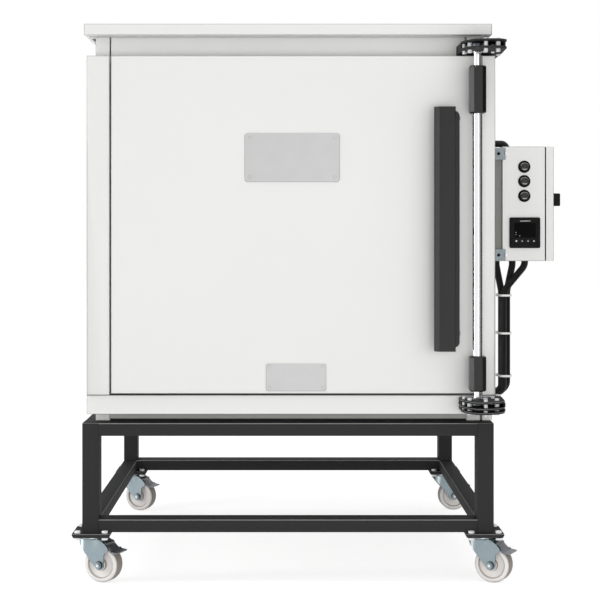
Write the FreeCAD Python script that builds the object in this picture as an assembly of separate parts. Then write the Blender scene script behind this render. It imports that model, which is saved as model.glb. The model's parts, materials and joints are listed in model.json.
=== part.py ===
import FreeCAD, Part
import math
import os
from FreeCAD import Vector

# Front-loading ceramic kiln on a wheeled steel stand, with a control box on its right side.
# Millimetres. X runs to the right as seen from the door, Y from the door to the back, Z up.
# While the pieces are made, X is 0 on the middle of the body, Y is 0 on the front of the
# stand and Z is 0 on the floor. The last step moves the origin to the middle of the base.

# Fits: flat pieces of different bodies, shafts in bores, and pieces laid on a seat
SEAT_GAP = 0.3
SHAFT_GAP = 0.06
SHEET = 1.5

# Casters
WHEEL_DIAMETER = 80.0
WHEEL_WIDTH = 34.0
WHEEL_TRAIL = 26.0
CASTER_HEIGHT = 106.0
CASTER_PLATE_LENGTH = 100.0
CASTER_PLATE_WIDTH = 80.0
CASTER_PLATE_THICK = 3.0
CASTER_IN_FROM_LEG = 3.0
CASTER_YAW = {"front_left": -21.0, "front_right": -27.0, "rear_left": -20.0, "rear_right": 6.0}
CASTER_PLATE_CORNER = 6.0
AXLE_RADIUS = 6.0
AXLE_HEAD_RADIUS = 7.5
AXLE_HEAD = 5.0
FORK_EYE = 11.0
KINGPIN_RADIUS = 6.0
HUB_RADIUS = 13.0
HUB_WIDTH = 38.0
CHEEK = 2.5
CHEEK_GAP = 1.0
CROWN_RADIUS = 31.0
HOUSING_START = -10.0
CROWN_HEIGHT = 8.0
RIVET_HEIGHT = 4.0
RIVET_OVER_PIN = 4.0
PEDAL_PIVOT_BACK = 12.0
PEDAL_PIVOT_OVER_WHEEL = 5.0
PEDAL_PIN_RADIUS = 3.0
PEDAL_BARREL_RADIUS = 5.5
PEDAL_SHEET = 3.0
PEDAL_FOOT_WIDTH = 52.0

# Stand
STAND_WIDTH = 906.0
STAND_DEPTH = 960.0
STAND_HEIGHT = 240.0
LEG_WIDTH = 36.0
TUBE_DEPTH = 60.0
RAIL_HEIGHT = 28.0
TUBE_WALL = 3.0
TUBE_CORNER = 2.0
PAD_LENGTH = 105.0
PAD_WIDTH = 84.0
PAD_THICK = 6.0
PAD_CORNER = 8.0
PAD_BOLTS_X = 60.0
PAD_BOLTS_Y = 80.0
BOLT_ACROSS = 13.0
BOLT_HEAD = 5.5

# Body
BODY_WIDTH = 860.0
BODY_FRONT = 56.0
BODY_DEPTH = 884.0
BODY_HEIGHT = 836.0
FOOT_HEIGHT = 20.0
POST = 32.0
POST_WALL = 2.0
POST_CORNER = 2.0
SKIRT_LIFT = 4.0
PANEL_RECESS = 1.0
HEADER_HEIGHT = 50.0
HEADER_SEAM = 2.2
LID_THICK = 24.0
LID_FRONT = 6.0
LID_SIDE_OVER = 20.0
LID_BACK_OVER = 20.0
LID_LIP = 26.0
LID_SIDE_LIP = 8.0
LID_CORNER = 3.0
LID_ROUND = 2.0

# Chamber and its lining
CHAMBER_WIDTH = 520.0
CHAMBER_HEIGHT = 536.0
REAR_LINING = 170.0
MOUTH_MARGIN = 30.0
GROOVE_HEIGHT = 30.0
GROOVE_DEPTH = 28.0
ELEMENT_ROWS = 6
ELEMENT_TUBE_RADIUS = 7.0
ELEMENT_SOCKET = 12.0
ELEMENT_LIP = 40.0
PROBE_RADIUS = 6.0
PROBE_REACH = 60.0
PROBE_HEAD_RADIUS = 20.0
PROBE_HEAD_LENGTH = 26.0
REAR_COVER_WIDTH = 520.0
REAR_COVER_HEIGHT = 560.0
REAR_COVER_DEPTH = 50.0
REAR_COVER_ROUND = 3.0
LOUVRE_HEIGHT = 8.0
LOUVRE_PITCH = 24.0
LOUVRE_MARGIN = 40.0

# Door surround
SURROUND_LEFT = -443.0
SURROUND_RIGHT = 456.0
JAMB_WIDTH = 50.0
SILL_HEIGHT = 42.0
HINGE_STRIP_WIDTH = 29.0
SURROUND_TOP = 1161.0
SURROUND_ROUND = 2.0
HINGE_POST_GAP = 3.0
HINGE_POST_DEPTH = 50.0
HINGE_POST_OVER_PLATES = 5.0

# Door
DOOR_GAP = 3.0
DOOR_THICK = 50.0
DOOR_TAPER = 6.0
DOOR_ROUND = 2.5
PLUG_DEPTH = 45.0
PLUG_GAP = 8.0
PLUG_TAPER = 12.0
SEAL_WIDTH = 20.0
SEAL_OUT_FROM_CHAMBER = 40.0

# Hinge
ROD_X = 411.0
ROD_FORWARD = 50.0
ROD_RADIUS = 11.0
ROD_NECK_RADIUS = 8.0
COLLAR_RADIUS = 10.0
COLLAR_HEIGHT = 4.0
SLEEVE_WIDTH = 36.0
SLEEVE_CHAMFER = 9.0
SLEEVE_END = 2.5
SLEEVE_WEB = 24.0
SLEEVE_SPANS = ((428.0, 504.5), (1030.0, 1133.5))
PLATE_THICK = 4.0
TOP_PLATES = (1166.2, 1181.4)
BOTTOM_PLATES = (383.6, 392.6, 406.0)
PLATE_LEFT = 376.0
PLATE_RIGHT = 471.0
PLATE_REACH = 68.0
PLATE_NOSE = 30.0
BOTTOM_ARM_BACK = 50.0
TOP_ARM_BACK = 140.0
WEB_THICK = 4.0
TOP_PLATE_CORNER = -98.0
BOTTOM_PLATE_CORNER = -68.0
BUSH_RADIUS = 11.0
PLATE_BOLTS = ((387.0, -20.0), (394.5, -50.0), (427.5, -50.0), (446.0, -34.0), (464.8, 20.0))
PLATE_BOLT_RADII = (4.5, 5.2, 5.2, 3.6, 5.2)
PLATE_HEAD = 3.5

# Handle and name plates on the door
HANDLE_LEFT = 317.0
HANDLE_WALL = 363.0
HANDLE_BOTTOM = 514.0
HANDLE_TOP = 1045.0
HANDLE_OUT = 60.0
HANDLE_CHAMFER = 11.0
HANDLE_SHEET = 3.0
HANDLE_FOOT_RIGHT = 375.0
HANDLE_FOOT_OUT = 25.0
HANDLE_FOOT_INSET = 7.0
HANDLE_FOOT_ROUND = 11.5
HANDLE_SCREWS = (550.7, 1022.0)
NAME_PLATE_THICK = 2.0
NAME_PLATES = ((-95.5, 114.0, 883.0, 992.0), (-48.5, 84.0, 423.0, 485.0))
NAME_PLATE_CORNERS = (7.5, 4.5)
NAME_PLATE_SCREWS = (11.0, 7.5)
SCREW_RADIUS = 3.0
SCREW_HEAD = 1.2
HANDLE_SCREW_RADIUS = 4.0
HANDLE_SCREW_HEAD = 2.5

# Control box
CASE_LEFT = 504.5
CASE_WIDTH = 99.0
CASE_FRONT = 240.0
CASE_DEPTH = 250.0
CASE_BOTTOM = 704.0
CASE_HEIGHT = 269.0
CASE_SEAM = 3.0
CASE_LIP = 14.0
CASE_DOOR_THICK = 18.0
CASE_DOOR_SHEET = 2.0
CASE_HINGE_IN = 6.0
CASE_HINGE_PIN = 2.0
CASE_EAR = 3.0
LOCK_HEIGHT = 848.5
LOCK_FROM_FRONT = 29.0
LOCK_RADIUS = 13.0
LOCK_SHAFT_RADIUS = 4.0
LOCK_OUT = 19.0
LOCK_BASE = 5.0
LOCK_WING = 12.0
LOCK_WING_HEIGHT = 30.0
LOCK_NUT_RADIUS = 7.0
LOCK_CAM_THICK = 3.0
LOCK_CAM_GAP = 2.0
LOCK_CAM_REACH = 21.0
CHANNEL_RECESS = 8.0
CHANNEL_DEPTH = 60.0
CHANNEL_WALL = 2.0
BRACKET_HEIGHT = 28.0
BRACKET_THICK = 2.5
BRACKET_LEFT = 474.0
BRACKET_OVER_CASE = 6.5

# Buttons and controller on the front of the control box
BUTTON_X = 555.0
BUTTON_HEIGHTS = (925.5, 891.5, 857.0)
BEZEL_RADIUS = 14.5
BEZEL_OUT = 4.0
BEZEL_BARREL_RADIUS = 11.0
BEZEL_BARREL = 22.0
BUTTON_RADIUS = 9.6
BUTTON_OUT = 5.0
BUTTON_TRAVEL = 3.0
CONTROLLER_SIZE = 72.0
CONTROLLER_X = 556.0
CONTROLLER_HEIGHT = 770.5
CONTROLLER_BEZEL = 8.0
CONTROLLER_BODY = 66.0
CONTROLLER_DEPTH = 70.0
CONTROLLER_CORNER = 4.0
CONTROLLER_CHAMFER = 2.5
CONTROLLER_FRAME = 7.0

# Components on the plate inside the control box
MOUNTING_PLATE = 2.0
PLATE_FROM_FRONT = 86.0
PLATE_MARGIN = 12.0
COMPONENT_GAP = 8.0
CONTACTOR_WIDTH = 55.0
CONTACTOR_HEIGHT = 80.0
CONTACTOR_DEPTH = 62.0
RELAY_WIDTH = 45.0
RELAY_HEIGHT = 60.0
RELAY_DEPTH = 40.0
STRIP_HEIGHT = 35.0
STRIP_DEPTH = 30.0
STRIP_LIFT = 58.0

# Conduits
CONDUIT_RADIUS = 8.0
CONDUIT_PITCH_Y = 16.4
BUNDLE_ZIGZAG = 5.4
BUNDLE_X = 513.5
BUNDLE_FRONT = 259.0
BUNDLE_JOIN_DROP = 72.0
ELBOW_RADIUS = 20.0
CONDUIT_ENTRY_LIFT = 10.5
CONDUIT_STARTS = (559.0, 531.7, 496.0)
CONDUIT_DROP = 11.0
CONDUIT_TOP_BEND = 28.0
CONDUIT_LOW_BEND = 60.0
LOCKNUT_HEIGHT = 6.0
TIE_BELOW_JOIN = 12.0
TIE_ABOVE_ENTRY = 36.0
TIE_MIDDLE = 0.53
TIE_WIDTH = 5.0
TIE_THICK = 1.4
TIE_HEAD = 5.0
GLAND_RADIUS = 11.5
GLAND_HEIGHT = 8.0
TOP_CONDUIT_Y = 305.0
TOP_CONDUIT_OVER_CASE = 9.5
TOP_CONDUIT_X = 522.0
TOP_CONDUIT_BEND = 13.0
MAINS_GLAND_BORE = 6.0
MAINS_GLAND_X = 556.0
MAINS_GLAND_HEIGHT = 745.0

# Sizes that follow from the ones above
STAND_BOTTOM = CASTER_HEIGHT + PAD_THICK
STAND_TOP = STAND_BOTTOM + STAND_HEIGHT
BODY_BOTTOM = STAND_TOP + FOOT_HEIGHT
BODY_TOP = BODY_BOTTOM + BODY_HEIGHT
BODY_SIDE = BODY_WIDTH / 2
BODY_BACK = BODY_FRONT + BODY_DEPTH
PANEL_SIDE = BODY_SIDE - PANEL_RECESS
SILL_TOP = BODY_BOTTOM + SILL_HEIGHT
DOOR_LEFT = SURROUND_LEFT + JAMB_WIDTH + DOOR_GAP
DOOR_RIGHT = SURROUND_RIGHT - HINGE_STRIP_WIDTH - DOOR_GAP
DOOR_BOTTOM = SILL_TOP + DOOR_GAP
CHAMBER_SIDE = CHAMBER_WIDTH / 2
LINING_SIDE = PANEL_SIDE - SHEET
LINING_FRONT = BODY_FRONT + SHEET
LINING_BACK = BODY_BACK - PANEL_RECESS - SHEET
CHAMBER_BACK = LINING_BACK - REAR_LINING
LINING_BOTTOM = BODY_BOTTOM + SHEET
FLOOR_LINING = (BODY_TOP - LINING_BOTTOM - CHAMBER_HEIGHT) / 2
CHAMBER_BOTTOM = LINING_BOTTOM + FLOOR_LINING
CHAMBER_TOP = CHAMBER_BOTTOM + CHAMBER_HEIGHT
LEG_CENTRE_X = (STAND_WIDTH - LEG_WIDTH) / 2
LEG_CENTRE_Y = (TUBE_DEPTH / 2, STAND_DEPTH - TUBE_DEPTH / 2)
ROD_Y = -ROD_FORWARD
CASE_RIGHT = CASE_LEFT + CASE_WIDTH
CASE_BACK = CASE_FRONT + CASE_DEPTH
CASE_TOP = CASE_BOTTOM + CASE_HEIGHT
CASE_DOOR_LEFT = CASE_RIGHT + CASE_SEAM
CASE_DOOR_RIGHT = CASE_DOOR_LEFT + CASE_DOOR_THICK
CROWN_TOP = CASTER_HEIGHT - CASTER_PLATE_THICK - SEAT_GAP
CROWN_BOTTOM = CROWN_TOP - CROWN_HEIGHT
CHEEK_INNER = HUB_WIDTH / 2 + CHEEK_GAP
CHEEK_OUTER = CHEEK_INNER + CHEEK
WHEEL_RADIUS = WHEEL_DIAMETER / 2
PEDAL_PIVOT = (WHEEL_TRAIL + PEDAL_PIVOT_BACK, WHEEL_DIAMETER + PEDAL_PIVOT_OVER_WHEEL)
BUNDLE_JOIN = CASE_BOTTOM - BUNDLE_JOIN_DROP
CONDUIT_ENTRY_HEIGHT = BODY_BOTTOM + GLAND_RADIUS + CONDUIT_ENTRY_LIFT
TOP_CONDUIT_HEIGHT = CASE_TOP + TOP_CONDUIT_OVER_CASE
TIE_TOP = BUNDLE_JOIN - TIE_BELOW_JOIN
TIE_LOW = CONDUIT_ENTRY_HEIGHT + TIE_ABOVE_ENTRY

UP = Vector(0, 0, 1)
BACKWARD = Vector(0, 1, 0)
RIGHTWARD = Vector(1, 0, 0)
ORIGIN = Vector(0, 0, 0)


def box(x0, x1, y0, y1, z0, z1):
    return Part.makeBox(x1 - x0, y1 - y0, z1 - z0, Vector(x0, y0, z0))


def joined(pieces):
    shape = pieces[0]
    for piece in pieces[1:]:
        shape = shape.fuse(piece)
    return shape.removeSplitter()


def moved(shape, x=0.0, y=0.0, z=0.0):
    copy = shape.copy()
    copy.translate(Vector(x, y, z))
    return copy


def round_along(shape, radius, axis, keep=None):
    """Fillets the straight edges that run along an axis; keep picks some of them by their middle."""
    edges = []
    for edge in shape.Edges:
        if not isinstance(edge.Curve, Part.Line):
            continue
        middle = edge.CenterOfMass
        if edge.tangentAt(edge.FirstParameter).cross(axis).Length > 1e-6:
            continue
        if keep is None or keep(middle):
            edges.append(edge)
    return shape.makeFillet(radius, edges)


def face(start, *steps):
    """A flat face from a start point and steps: an end point, or (middle, end) for an arc."""
    edges = []
    here = Vector(*start)
    for step in steps + (start,):
        if isinstance(step[0], tuple):
            end = Vector(*step[1])
            edges.append(Part.Arc(here, Vector(*step[0]), end).toShape())
        else:
            end = Vector(*step)
            edges.append(Part.makeLine(here, end))
        here = end
    return Part.Face(Part.Wire(edges))


def plan_prism(outline, z0, z1):
    """Raises a face drawn in X and Y from z0 to z1."""
    return moved(outline, z=z0).extrude(UP * (z1 - z0))


def front_prism(outline, y0, y1):
    """Stands a face drawn as X and Z up, and gives it the depth from y0 to y1."""
    solid = outline.extrude(UP * (y1 - y0))
    solid.rotate(ORIGIN, RIGHTWARD, 90)
    return moved(solid, y=y1)


def spun(outline):
    """Spins a face drawn as radius and height about the vertical axis."""
    stood = outline.copy()
    stood.rotate(ORIGIN, RIGHTWARD, 90)
    return stood.revolve(ORIGIN, UP, 360)


def hexagon(across, x, y, z0, z1):
    corner = across / math.sqrt(3)
    turns = [math.radians(60 * k + 30) for k in range(6)]
    points = [(corner * math.cos(t), corner * math.sin(t), 0) for t in turns]
    return moved(plan_prism(face(*points), z0, z1), x, y)


def bar(x0, x1, y0, y1, z0, z1, axis, wall=TUBE_WALL, corner=TUBE_CORNER):
    """A rectangular tube along an axis, open at both ends."""
    outer = round_along(box(x0, x1, y0, y1, z0, z1), corner, axis)
    grow = [axis.x * 2 * wall, axis.y * 2 * wall, axis.z * 2 * wall]
    inner = box(
        x0 + wall - grow[0], x1 - wall + grow[0],
        y0 + wall - grow[1], y1 - wall + grow[1],
        z0 + wall - grow[2], z1 - wall + grow[2],
    )
    return outer.cut(inner)


# Casters: each is made with its kingpin on the origin and its wheel trailing along +X

def caster_base(width, length, thick, corner, z0):
    plate = box(-width / 2, width / 2, -length / 2, length / 2, z0, z0 + thick)
    return round_along(plate, corner, UP)


def caster_top_plate():
    """The zinc plate with its riveted kingpin, which carries the fork's crown."""
    low = CASTER_HEIGHT - CASTER_PLATE_THICK
    plate = caster_base(CASTER_PLATE_WIDTH, CASTER_PLATE_LENGTH, CASTER_PLATE_THICK,
                        CASTER_PLATE_CORNER, low)
    pin_low = Vector(0, 0, CROWN_BOTTOM - RIVET_HEIGHT)
    pin = Part.makeCylinder(KINGPIN_RADIUS, low - pin_low.z, pin_low)
    rivet = Part.makeCylinder(KINGPIN_RADIUS + RIVET_OVER_PIN, RIVET_HEIGHT - SEAT_GAP, pin_low)
    return joined([plate, pin, rivet])


def caster_fork():
    """Pressed fork: raced crown, a bent housing with two cheeks and brake wings, and the axle."""
    crown = spun(face(
        (KINGPIN_RADIUS + SHAFT_GAP, CROWN_BOTTOM), (CROWN_RADIUS - 3, CROWN_BOTTOM),
        (CROWN_RADIUS, CROWN_BOTTOM + 3), (CROWN_RADIUS, CROWN_TOP - 2),
        (CROWN_RADIUS - 2, CROWN_TOP), (KINGPIN_RADIUS + SHAFT_GAP, CROWN_TOP),
    ))
    trail = WHEEL_TRAIL
    eye = FORK_EYE
    wing_x, wing_z = PEDAL_PIVOT
    cheek_top = CROWN_BOTTOM + 3
    far = 2 * CASTER_PLATE_LENGTH
    side_view = face(
        (-CROWN_RADIUS, cheek_top), (-CROWN_RADIUS, cheek_top - 8),
        (trail - eye * 0.87, WHEEL_RADIUS - eye * 0.5),
        ((trail, WHEEL_RADIUS - eye), (trail + eye, WHEEL_RADIUS)),
        (trail + eye, WHEEL_RADIUS + 19),
        ((trail + eye + 2, WHEEL_RADIUS + 25), (trail + eye + 6, WHEEL_RADIUS + 28)),
        (wing_x + 6, WHEEL_RADIUS + 28.5),
        ((wing_x + 9.5, WHEEL_RADIUS + 33), (wing_x + 8, WHEEL_RADIUS + 39)),
        ((wing_x - 4, wing_z + 5), (CROWN_RADIUS - 14, cheek_top)),
    )
    plan = face(
        (far, -CHEEK_OUTER), (HOUSING_START, -CHEEK_OUTER),
        ((-CROWN_RADIUS, 0), (HOUSING_START, CHEEK_OUTER)), (far, CHEEK_OUTER),
        (far, CHEEK_INNER), (HOUSING_START, CHEEK_INNER),
        ((-CROWN_RADIUS + CHEEK, 0), (HOUSING_START, -CHEEK_INNER)), (far, -CHEEK_INNER),
    )
    housing = plan_prism(plan, 0, CASTER_HEIGHT).common(front_prism(side_view, -far, far))
    parts = [crown, housing]
    half = CHEEK_OUTER + AXLE_HEAD
    axle_at = Vector(trail, -half, WHEEL_RADIUS)
    parts.append(Part.makeCylinder(AXLE_RADIUS, 2 * half, axle_at, BACKWARD))
    for start in (-half, CHEEK_OUTER):
        at = Vector(trail, start, WHEEL_RADIUS)
        parts.append(Part.makeCylinder(AXLE_HEAD_RADIUS, AXLE_HEAD, at, BACKWARD))
    pin_at = Vector(wing_x, -CHEEK_INNER, wing_z)
    parts.append(Part.makeCylinder(PEDAL_PIN_RADIUS, 2 * CHEEK_INNER, pin_at, BACKWARD))
    kingpin = Part.makeCylinder(KINGPIN_RADIUS + SHAFT_GAP, CASTER_HEIGHT, Vector(0, 0, 0))
    return joined(parts).cut(kingpin)


def caster_wheel():
    """Cast nylon wheel with a rounded tread, a dished web and a wider hub."""
    bore = AXLE_RADIUS + SHAFT_GAP
    half = WHEEL_WIDTH / 2
    hub = HUB_WIDTH / 2
    rim = WHEEL_RADIUS - 9
    web = half - 6
    shoulder = 6.0
    side = [
        (bore, hub), (HUB_RADIUS, hub), (HUB_RADIUS + 1, web), (rim - 3, web), (rim, half),
        (WHEEL_RADIUS - shoulder, half),
    ]
    arc_middle = (WHEEL_RADIUS - 1.8, half - 1.8)
    tread = [(arc_middle, (WHEEL_RADIUS, half - shoulder))]
    other = [(WHEEL_RADIUS, shoulder - half), ((WHEEL_RADIUS - 1.8, 1.8 - half),
                                               (WHEEL_RADIUS - shoulder, -half))]
    back = [(r, -w) for r, w in reversed(side[:-1])]
    outline = face(side[0], *side[1:], *tread, *other, *back)
    wheel = outline.revolve(ORIGIN, BACKWARD, 360)
    return moved(wheel, WHEEL_TRAIL, 0, WHEEL_RADIUS)


def brake_pedal():
    """Bent pedal plate on its pin, sloping down over the wheel to a wide foot."""
    px, pz = PEDAL_PIVOT
    t = PEDAL_SHEET
    width = CHEEK_INNER - 1.0
    top = ((px - 8, pz + 5.5), (px + 2, pz + 3), (px + 17, pz - 11), (px + 19.5, pz - 13.5))
    low = [(x - 0.6 * t, z - 0.8 * t) for x, z in reversed(top)]
    plate = front_prism(face(*top, *low), -width, width)
    foot_top = ((px + 16, pz - 10.1), (px + 20, pz - 13.6), (px + 33, pz - 15.6))
    foot_low = [(x - 0.3 * t, z - 0.95 * t) for x, z in reversed(foot_top)]
    foot = front_prism(face(*foot_top, *foot_low), -PEDAL_FOOT_WIDTH / 2, PEDAL_FOOT_WIDTH / 2)
    barrel = Part.makeCylinder(PEDAL_BARREL_RADIUS, 2 * width, Vector(px, -width, pz), BACKWARD)
    hole = Part.makeCylinder(PEDAL_PIN_RADIUS + SHAFT_GAP, 2 * width + 2, Vector(px, -width - 1, pz), BACKWARD)
    return joined([plate, foot, barrel]).cut(hole)


def caster_places():
    """The name, middle and swivel angle of each caster."""
    x = LEG_CENTRE_X - CASTER_IN_FROM_LEG
    front, rear = LEG_CENTRE_Y
    return (
        ("front_left", -x, front), ("front_right", x, front),
        ("rear_left", -x, rear), ("rear_right", x, rear),
    )


def at_caster(shape, name, x, y, swivelled):
    placed = shape.copy()
    if swivelled:
        placed.rotate(ORIGIN, UP, CASTER_YAW[name])
    return moved(placed, x, y)


def caster_bolts():
    """Hex heads above each pad and nuts below each caster plate."""
    pieces = []
    nut_top = CASTER_HEIGHT - CASTER_PLATE_THICK
    for _, x, y in caster_places():
        for bolt_x in (x - PAD_BOLTS_X / 2, x + PAD_BOLTS_X / 2):
            for bolt_y in (y - PAD_BOLTS_Y / 2, y + PAD_BOLTS_Y / 2):
                for low in (STAND_BOTTOM, nut_top - BOLT_HEAD):
                    pieces.append(hexagon(BOLT_ACROSS, bolt_x, bolt_y, low, low + BOLT_HEAD))
    return pieces


# Stand

def stand_legs():
    legs = []
    for x in (-LEG_CENTRE_X, LEG_CENTRE_X):
        for y in LEG_CENTRE_Y:
            sides = (x - LEG_WIDTH / 2, x + LEG_WIDTH / 2, y - TUBE_DEPTH / 2, y + TUBE_DEPTH / 2)
            leg = bar(*sides, STAND_BOTTOM, STAND_TOP - TUBE_WALL, UP)
            cap = round_along(box(*sides, STAND_TOP - TUBE_WALL, STAND_TOP), TUBE_CORNER, UP)
            legs.append(joined([leg, cap]))
    return legs


def stand_ring(z0):
    """Four rails between the legs at one height."""
    z1 = z0 + RAIL_HEIGHT
    inner_x = LEG_CENTRE_X - LEG_WIDTH / 2
    rails = []
    for y in LEG_CENTRE_Y:
        rails.append(bar(-inner_x, inner_x, y - TUBE_DEPTH / 2, y + TUBE_DEPTH / 2, z0, z1, RIGHTWARD))
    for x in (-LEG_CENTRE_X, LEG_CENTRE_X):
        rails.append(bar(x - LEG_WIDTH / 2, x + LEG_WIDTH / 2, TUBE_DEPTH, STAND_DEPTH - TUBE_DEPTH,
                         z0, z1, BACKWARD))
    return rails


# Body shell

def post_box(x_side, y_side, gap=0.0):
    """The space of one corner post, from the stand to the lid."""
    x = BODY_SIDE if x_side > 0 else -BODY_SIDE + POST
    y = BODY_BACK if y_side > 0 else BODY_FRONT + POST
    return box(x - POST - gap, x + gap, y - POST - gap, y + gap, STAND_TOP - gap, BODY_TOP + gap)


def body_posts():
    posts = []
    for x_side in (-1, 1):
        for y_side in (-1, 1):
            space = post_box(x_side, y_side).BoundBox
            posts.append(bar(space.XMin, space.XMax, space.YMin, space.YMax,
                             STAND_TOP, BODY_TOP, UP, POST_WALL, POST_CORNER))
    return posts


def side_panel(side):
    x0 = side * PANEL_SIDE - (SHEET if side > 0 else 0)
    return box(x0, x0 + SHEET, BODY_FRONT + POST, BODY_BACK - POST, BODY_BOTTOM, BODY_TOP)


def rear_panel():
    y1 = BODY_BACK - PANEL_RECESS
    panel = box(-BODY_SIDE + POST, BODY_SIDE - POST, y1 - SHEET, y1, BODY_BOTTOM, BODY_TOP)
    probe = Part.makeCylinder(PROBE_RADIUS + 1, 40, Vector(0, y1 - 20, probe_height()), BACKWARD)
    return panel.cut(probe)


def floor_pan():
    """The bottom tray: a sheet between the posts with a skirt that hides the gap to the stand."""
    x = PANEL_SIDE
    y0 = BODY_FRONT + PANEL_RECESS
    y1 = BODY_BACK - PANEL_RECESS
    low = STAND_TOP + SKIRT_LIFT
    tray = box(-x, x, y0, y1, low, BODY_BOTTOM)
    hollow = box(-x + SHEET, x - SHEET, y0 + SHEET, y1 - SHEET, low - 1, BODY_BOTTOM - SHEET)
    tray = tray.cut(hollow)
    for x_side in (-1, 1):
        for y_side in (-1, 1):
            tray = tray.cut(post_box(x_side, y_side))
    sheet = box(-x + SHEET, x - SHEET, BODY_FRONT + POST, BODY_BACK - POST, BODY_BOTTOM, LINING_BOTTOM)
    return joined([tray, sheet])


def front_header():
    """The band over the door, set back a little between the front posts."""
    y0 = BODY_FRONT + PANEL_RECESS
    x = BODY_SIDE - POST
    band = box(-x, x, y0, y0 + POST - 4, BODY_TOP - HEADER_HEIGHT, BODY_TOP)
    hollow = box(-x - 1, x + 1, y0 + SHEET, y0 + POST, BODY_TOP - HEADER_HEIGHT + SHEET, BODY_TOP - SHEET)
    band = band.cut(hollow)
    for side in (-1, 1):
        x0, x1 = sorted((side * (x + 1), side * (x - HEADER_SEAM)))
        band = band.cut(box(x0, x1, y0 - 1, y0 + POST / 2, BODY_TOP - HEADER_HEIGHT - 1, BODY_TOP + 1))
    return band


def mouth_frame():
    """The plate behind the door, open round the chamber's mouth."""
    x = BODY_SIDE - POST
    plate = box(-x, x, BODY_FRONT, LINING_FRONT, BODY_BOTTOM, BODY_TOP - HEADER_HEIGHT)
    side = CHAMBER_SIDE + MOUTH_MARGIN
    mouth = box(-side, side, BODY_FRONT - 1, LINING_FRONT + 1,
                CHAMBER_BOTTOM - MOUTH_MARGIN, CHAMBER_TOP + MOUTH_MARGIN)
    return plate.cut(mouth)


def lid():
    """Folded roof tray with a lip turned in under its edge, on two bearers across the posts."""
    x = BODY_SIDE + LID_SIDE_OVER
    y1 = BODY_BACK + LID_BACK_OVER
    tray = box(-x, x, LID_FRONT, y1, BODY_TOP, BODY_TOP + LID_THICK)
    tray = round_along(tray, LID_CORNER, UP)
    rim = [edge for edge in tray.Edges if edge.CenterOfMass.z > BODY_TOP + LID_THICK - 0.01]
    tray = tray.makeFillet(LID_ROUND, rim)
    under_top = BODY_TOP + LID_THICK - SHEET
    hollow = box(-x + SHEET, x - SHEET, LID_FRONT + SHEET, y1 - SHEET, BODY_TOP + SHEET, under_top)
    hole = box(-x + LID_SIDE_LIP, x - LID_SIDE_LIP, LID_FRONT + LID_LIP, y1 - LID_LIP,
               BODY_TOP - 1, BODY_TOP + 2 * SHEET)
    pieces = [tray.cut(hollow).cut(hole)]
    inner_x = x - SHEET
    for y in (BODY_FRONT + POST / 2, BODY_BACK - POST / 2):
        half = POST / 2 - 2 * SHEET
        bearer = box(-inner_x, inner_x, y - half, y + half, BODY_TOP, under_top)
        bearer = bearer.cut(box(-inner_x - 1, inner_x + 1, y - half + SHEET, y + half - SHEET,
                                BODY_TOP + SHEET, under_top + 1))
        pieces.append(bearer.common(box(-inner_x, inner_x, LID_FRONT, y1, BODY_TOP, under_top)))
    return joined(pieces)


def door_surround():
    """Left jamb, sill and hinge strip, folded from sheet and open at the back."""
    strips = (
        (SURROUND_LEFT, SURROUND_LEFT + JAMB_WIDTH, SILL_TOP, SURROUND_TOP),
        (SURROUND_LEFT, SURROUND_RIGHT, BODY_BOTTOM, SILL_TOP),
        (SURROUND_RIGHT - HINGE_STRIP_WIDTH, SURROUND_RIGHT, SILL_TOP, SURROUND_TOP),
    )
    pieces = []
    for x0, x1, z0, z1 in strips:
        strip = box(x0, x1, 0, BODY_FRONT, z0, z1)
        front = [edge for edge in strip.Edges if edge.CenterOfMass.y < 0.01]
        strip = strip.makeFillet(SURROUND_ROUND, front)
        hollow = box(x0 + SHEET, x1 - SHEET, SHEET + 1, BODY_FRONT + 1, z0 + SHEET, z1 - SHEET)
        pieces.append(strip.cut(hollow))
    return pieces


def hinge_post():
    return bar(BODY_SIDE + HINGE_POST_GAP, SURROUND_RIGHT, BODY_FRONT, BODY_FRONT + HINGE_POST_DEPTH,
               STAND_TOP, TOP_PLATES[1] + PLATE_THICK + HINGE_POST_OVER_PLATES, UP, POST_WALL,
               POST_CORNER)


# Lining and heating

def without_posts(lining):
    for x_side in (-1, 1):
        for y_side in (-1, 1):
            lining = lining.cut(post_box(x_side, y_side, SEAT_GAP))
    return lining.cut(header_space())


def header_space():
    x = BODY_SIDE - POST
    return box(-x, x, BODY_FRONT, BODY_FRONT + POST - 2, BODY_TOP - HEADER_HEIGHT - SEAT_GAP, BODY_TOP)


def element_heights():
    pitch = CHAMBER_HEIGHT / ELEMENT_ROWS
    return [CHAMBER_BOTTOM + pitch * (row + 0.5) for row in range(ELEMENT_ROWS)]


def element_x(side):
    return side * (CHAMBER_SIDE + GROOVE_DEPTH / 2)


def wall_lining():
    """Side boards with a groove for each element and a socket at the front of each groove."""
    walls = []
    for side in (-1, 1):
        x0, x1 = sorted((side * CHAMBER_SIDE, side * LINING_SIDE))
        wall = box(x0, x1, LINING_FRONT, CHAMBER_BACK, CHAMBER_BOTTOM, CHAMBER_TOP)
        wall = without_posts(wall)
        for z in element_heights():
            x0, x1 = sorted((side * (CHAMBER_SIDE - 1), side * (CHAMBER_SIDE + GROOVE_DEPTH)))
            wall = wall.cut(box(x0, x1, LINING_FRONT + ELEMENT_LIP, CHAMBER_BACK + 1,
                                z - GROOVE_HEIGHT / 2, z + GROOVE_HEIGHT / 2))
            wall = wall.cut(element_socket(side, z, LINING_FRONT + ELEMENT_LIP - ELEMENT_SOCKET))
        walls.append(wall)
    return walls


def element_socket(side, z, y0):
    at = Vector(element_x(side), y0, z)
    return Part.makeCylinder(ELEMENT_TUBE_RADIUS + SEAT_GAP, ELEMENT_SOCKET + 1, at, BACKWARD)


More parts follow.
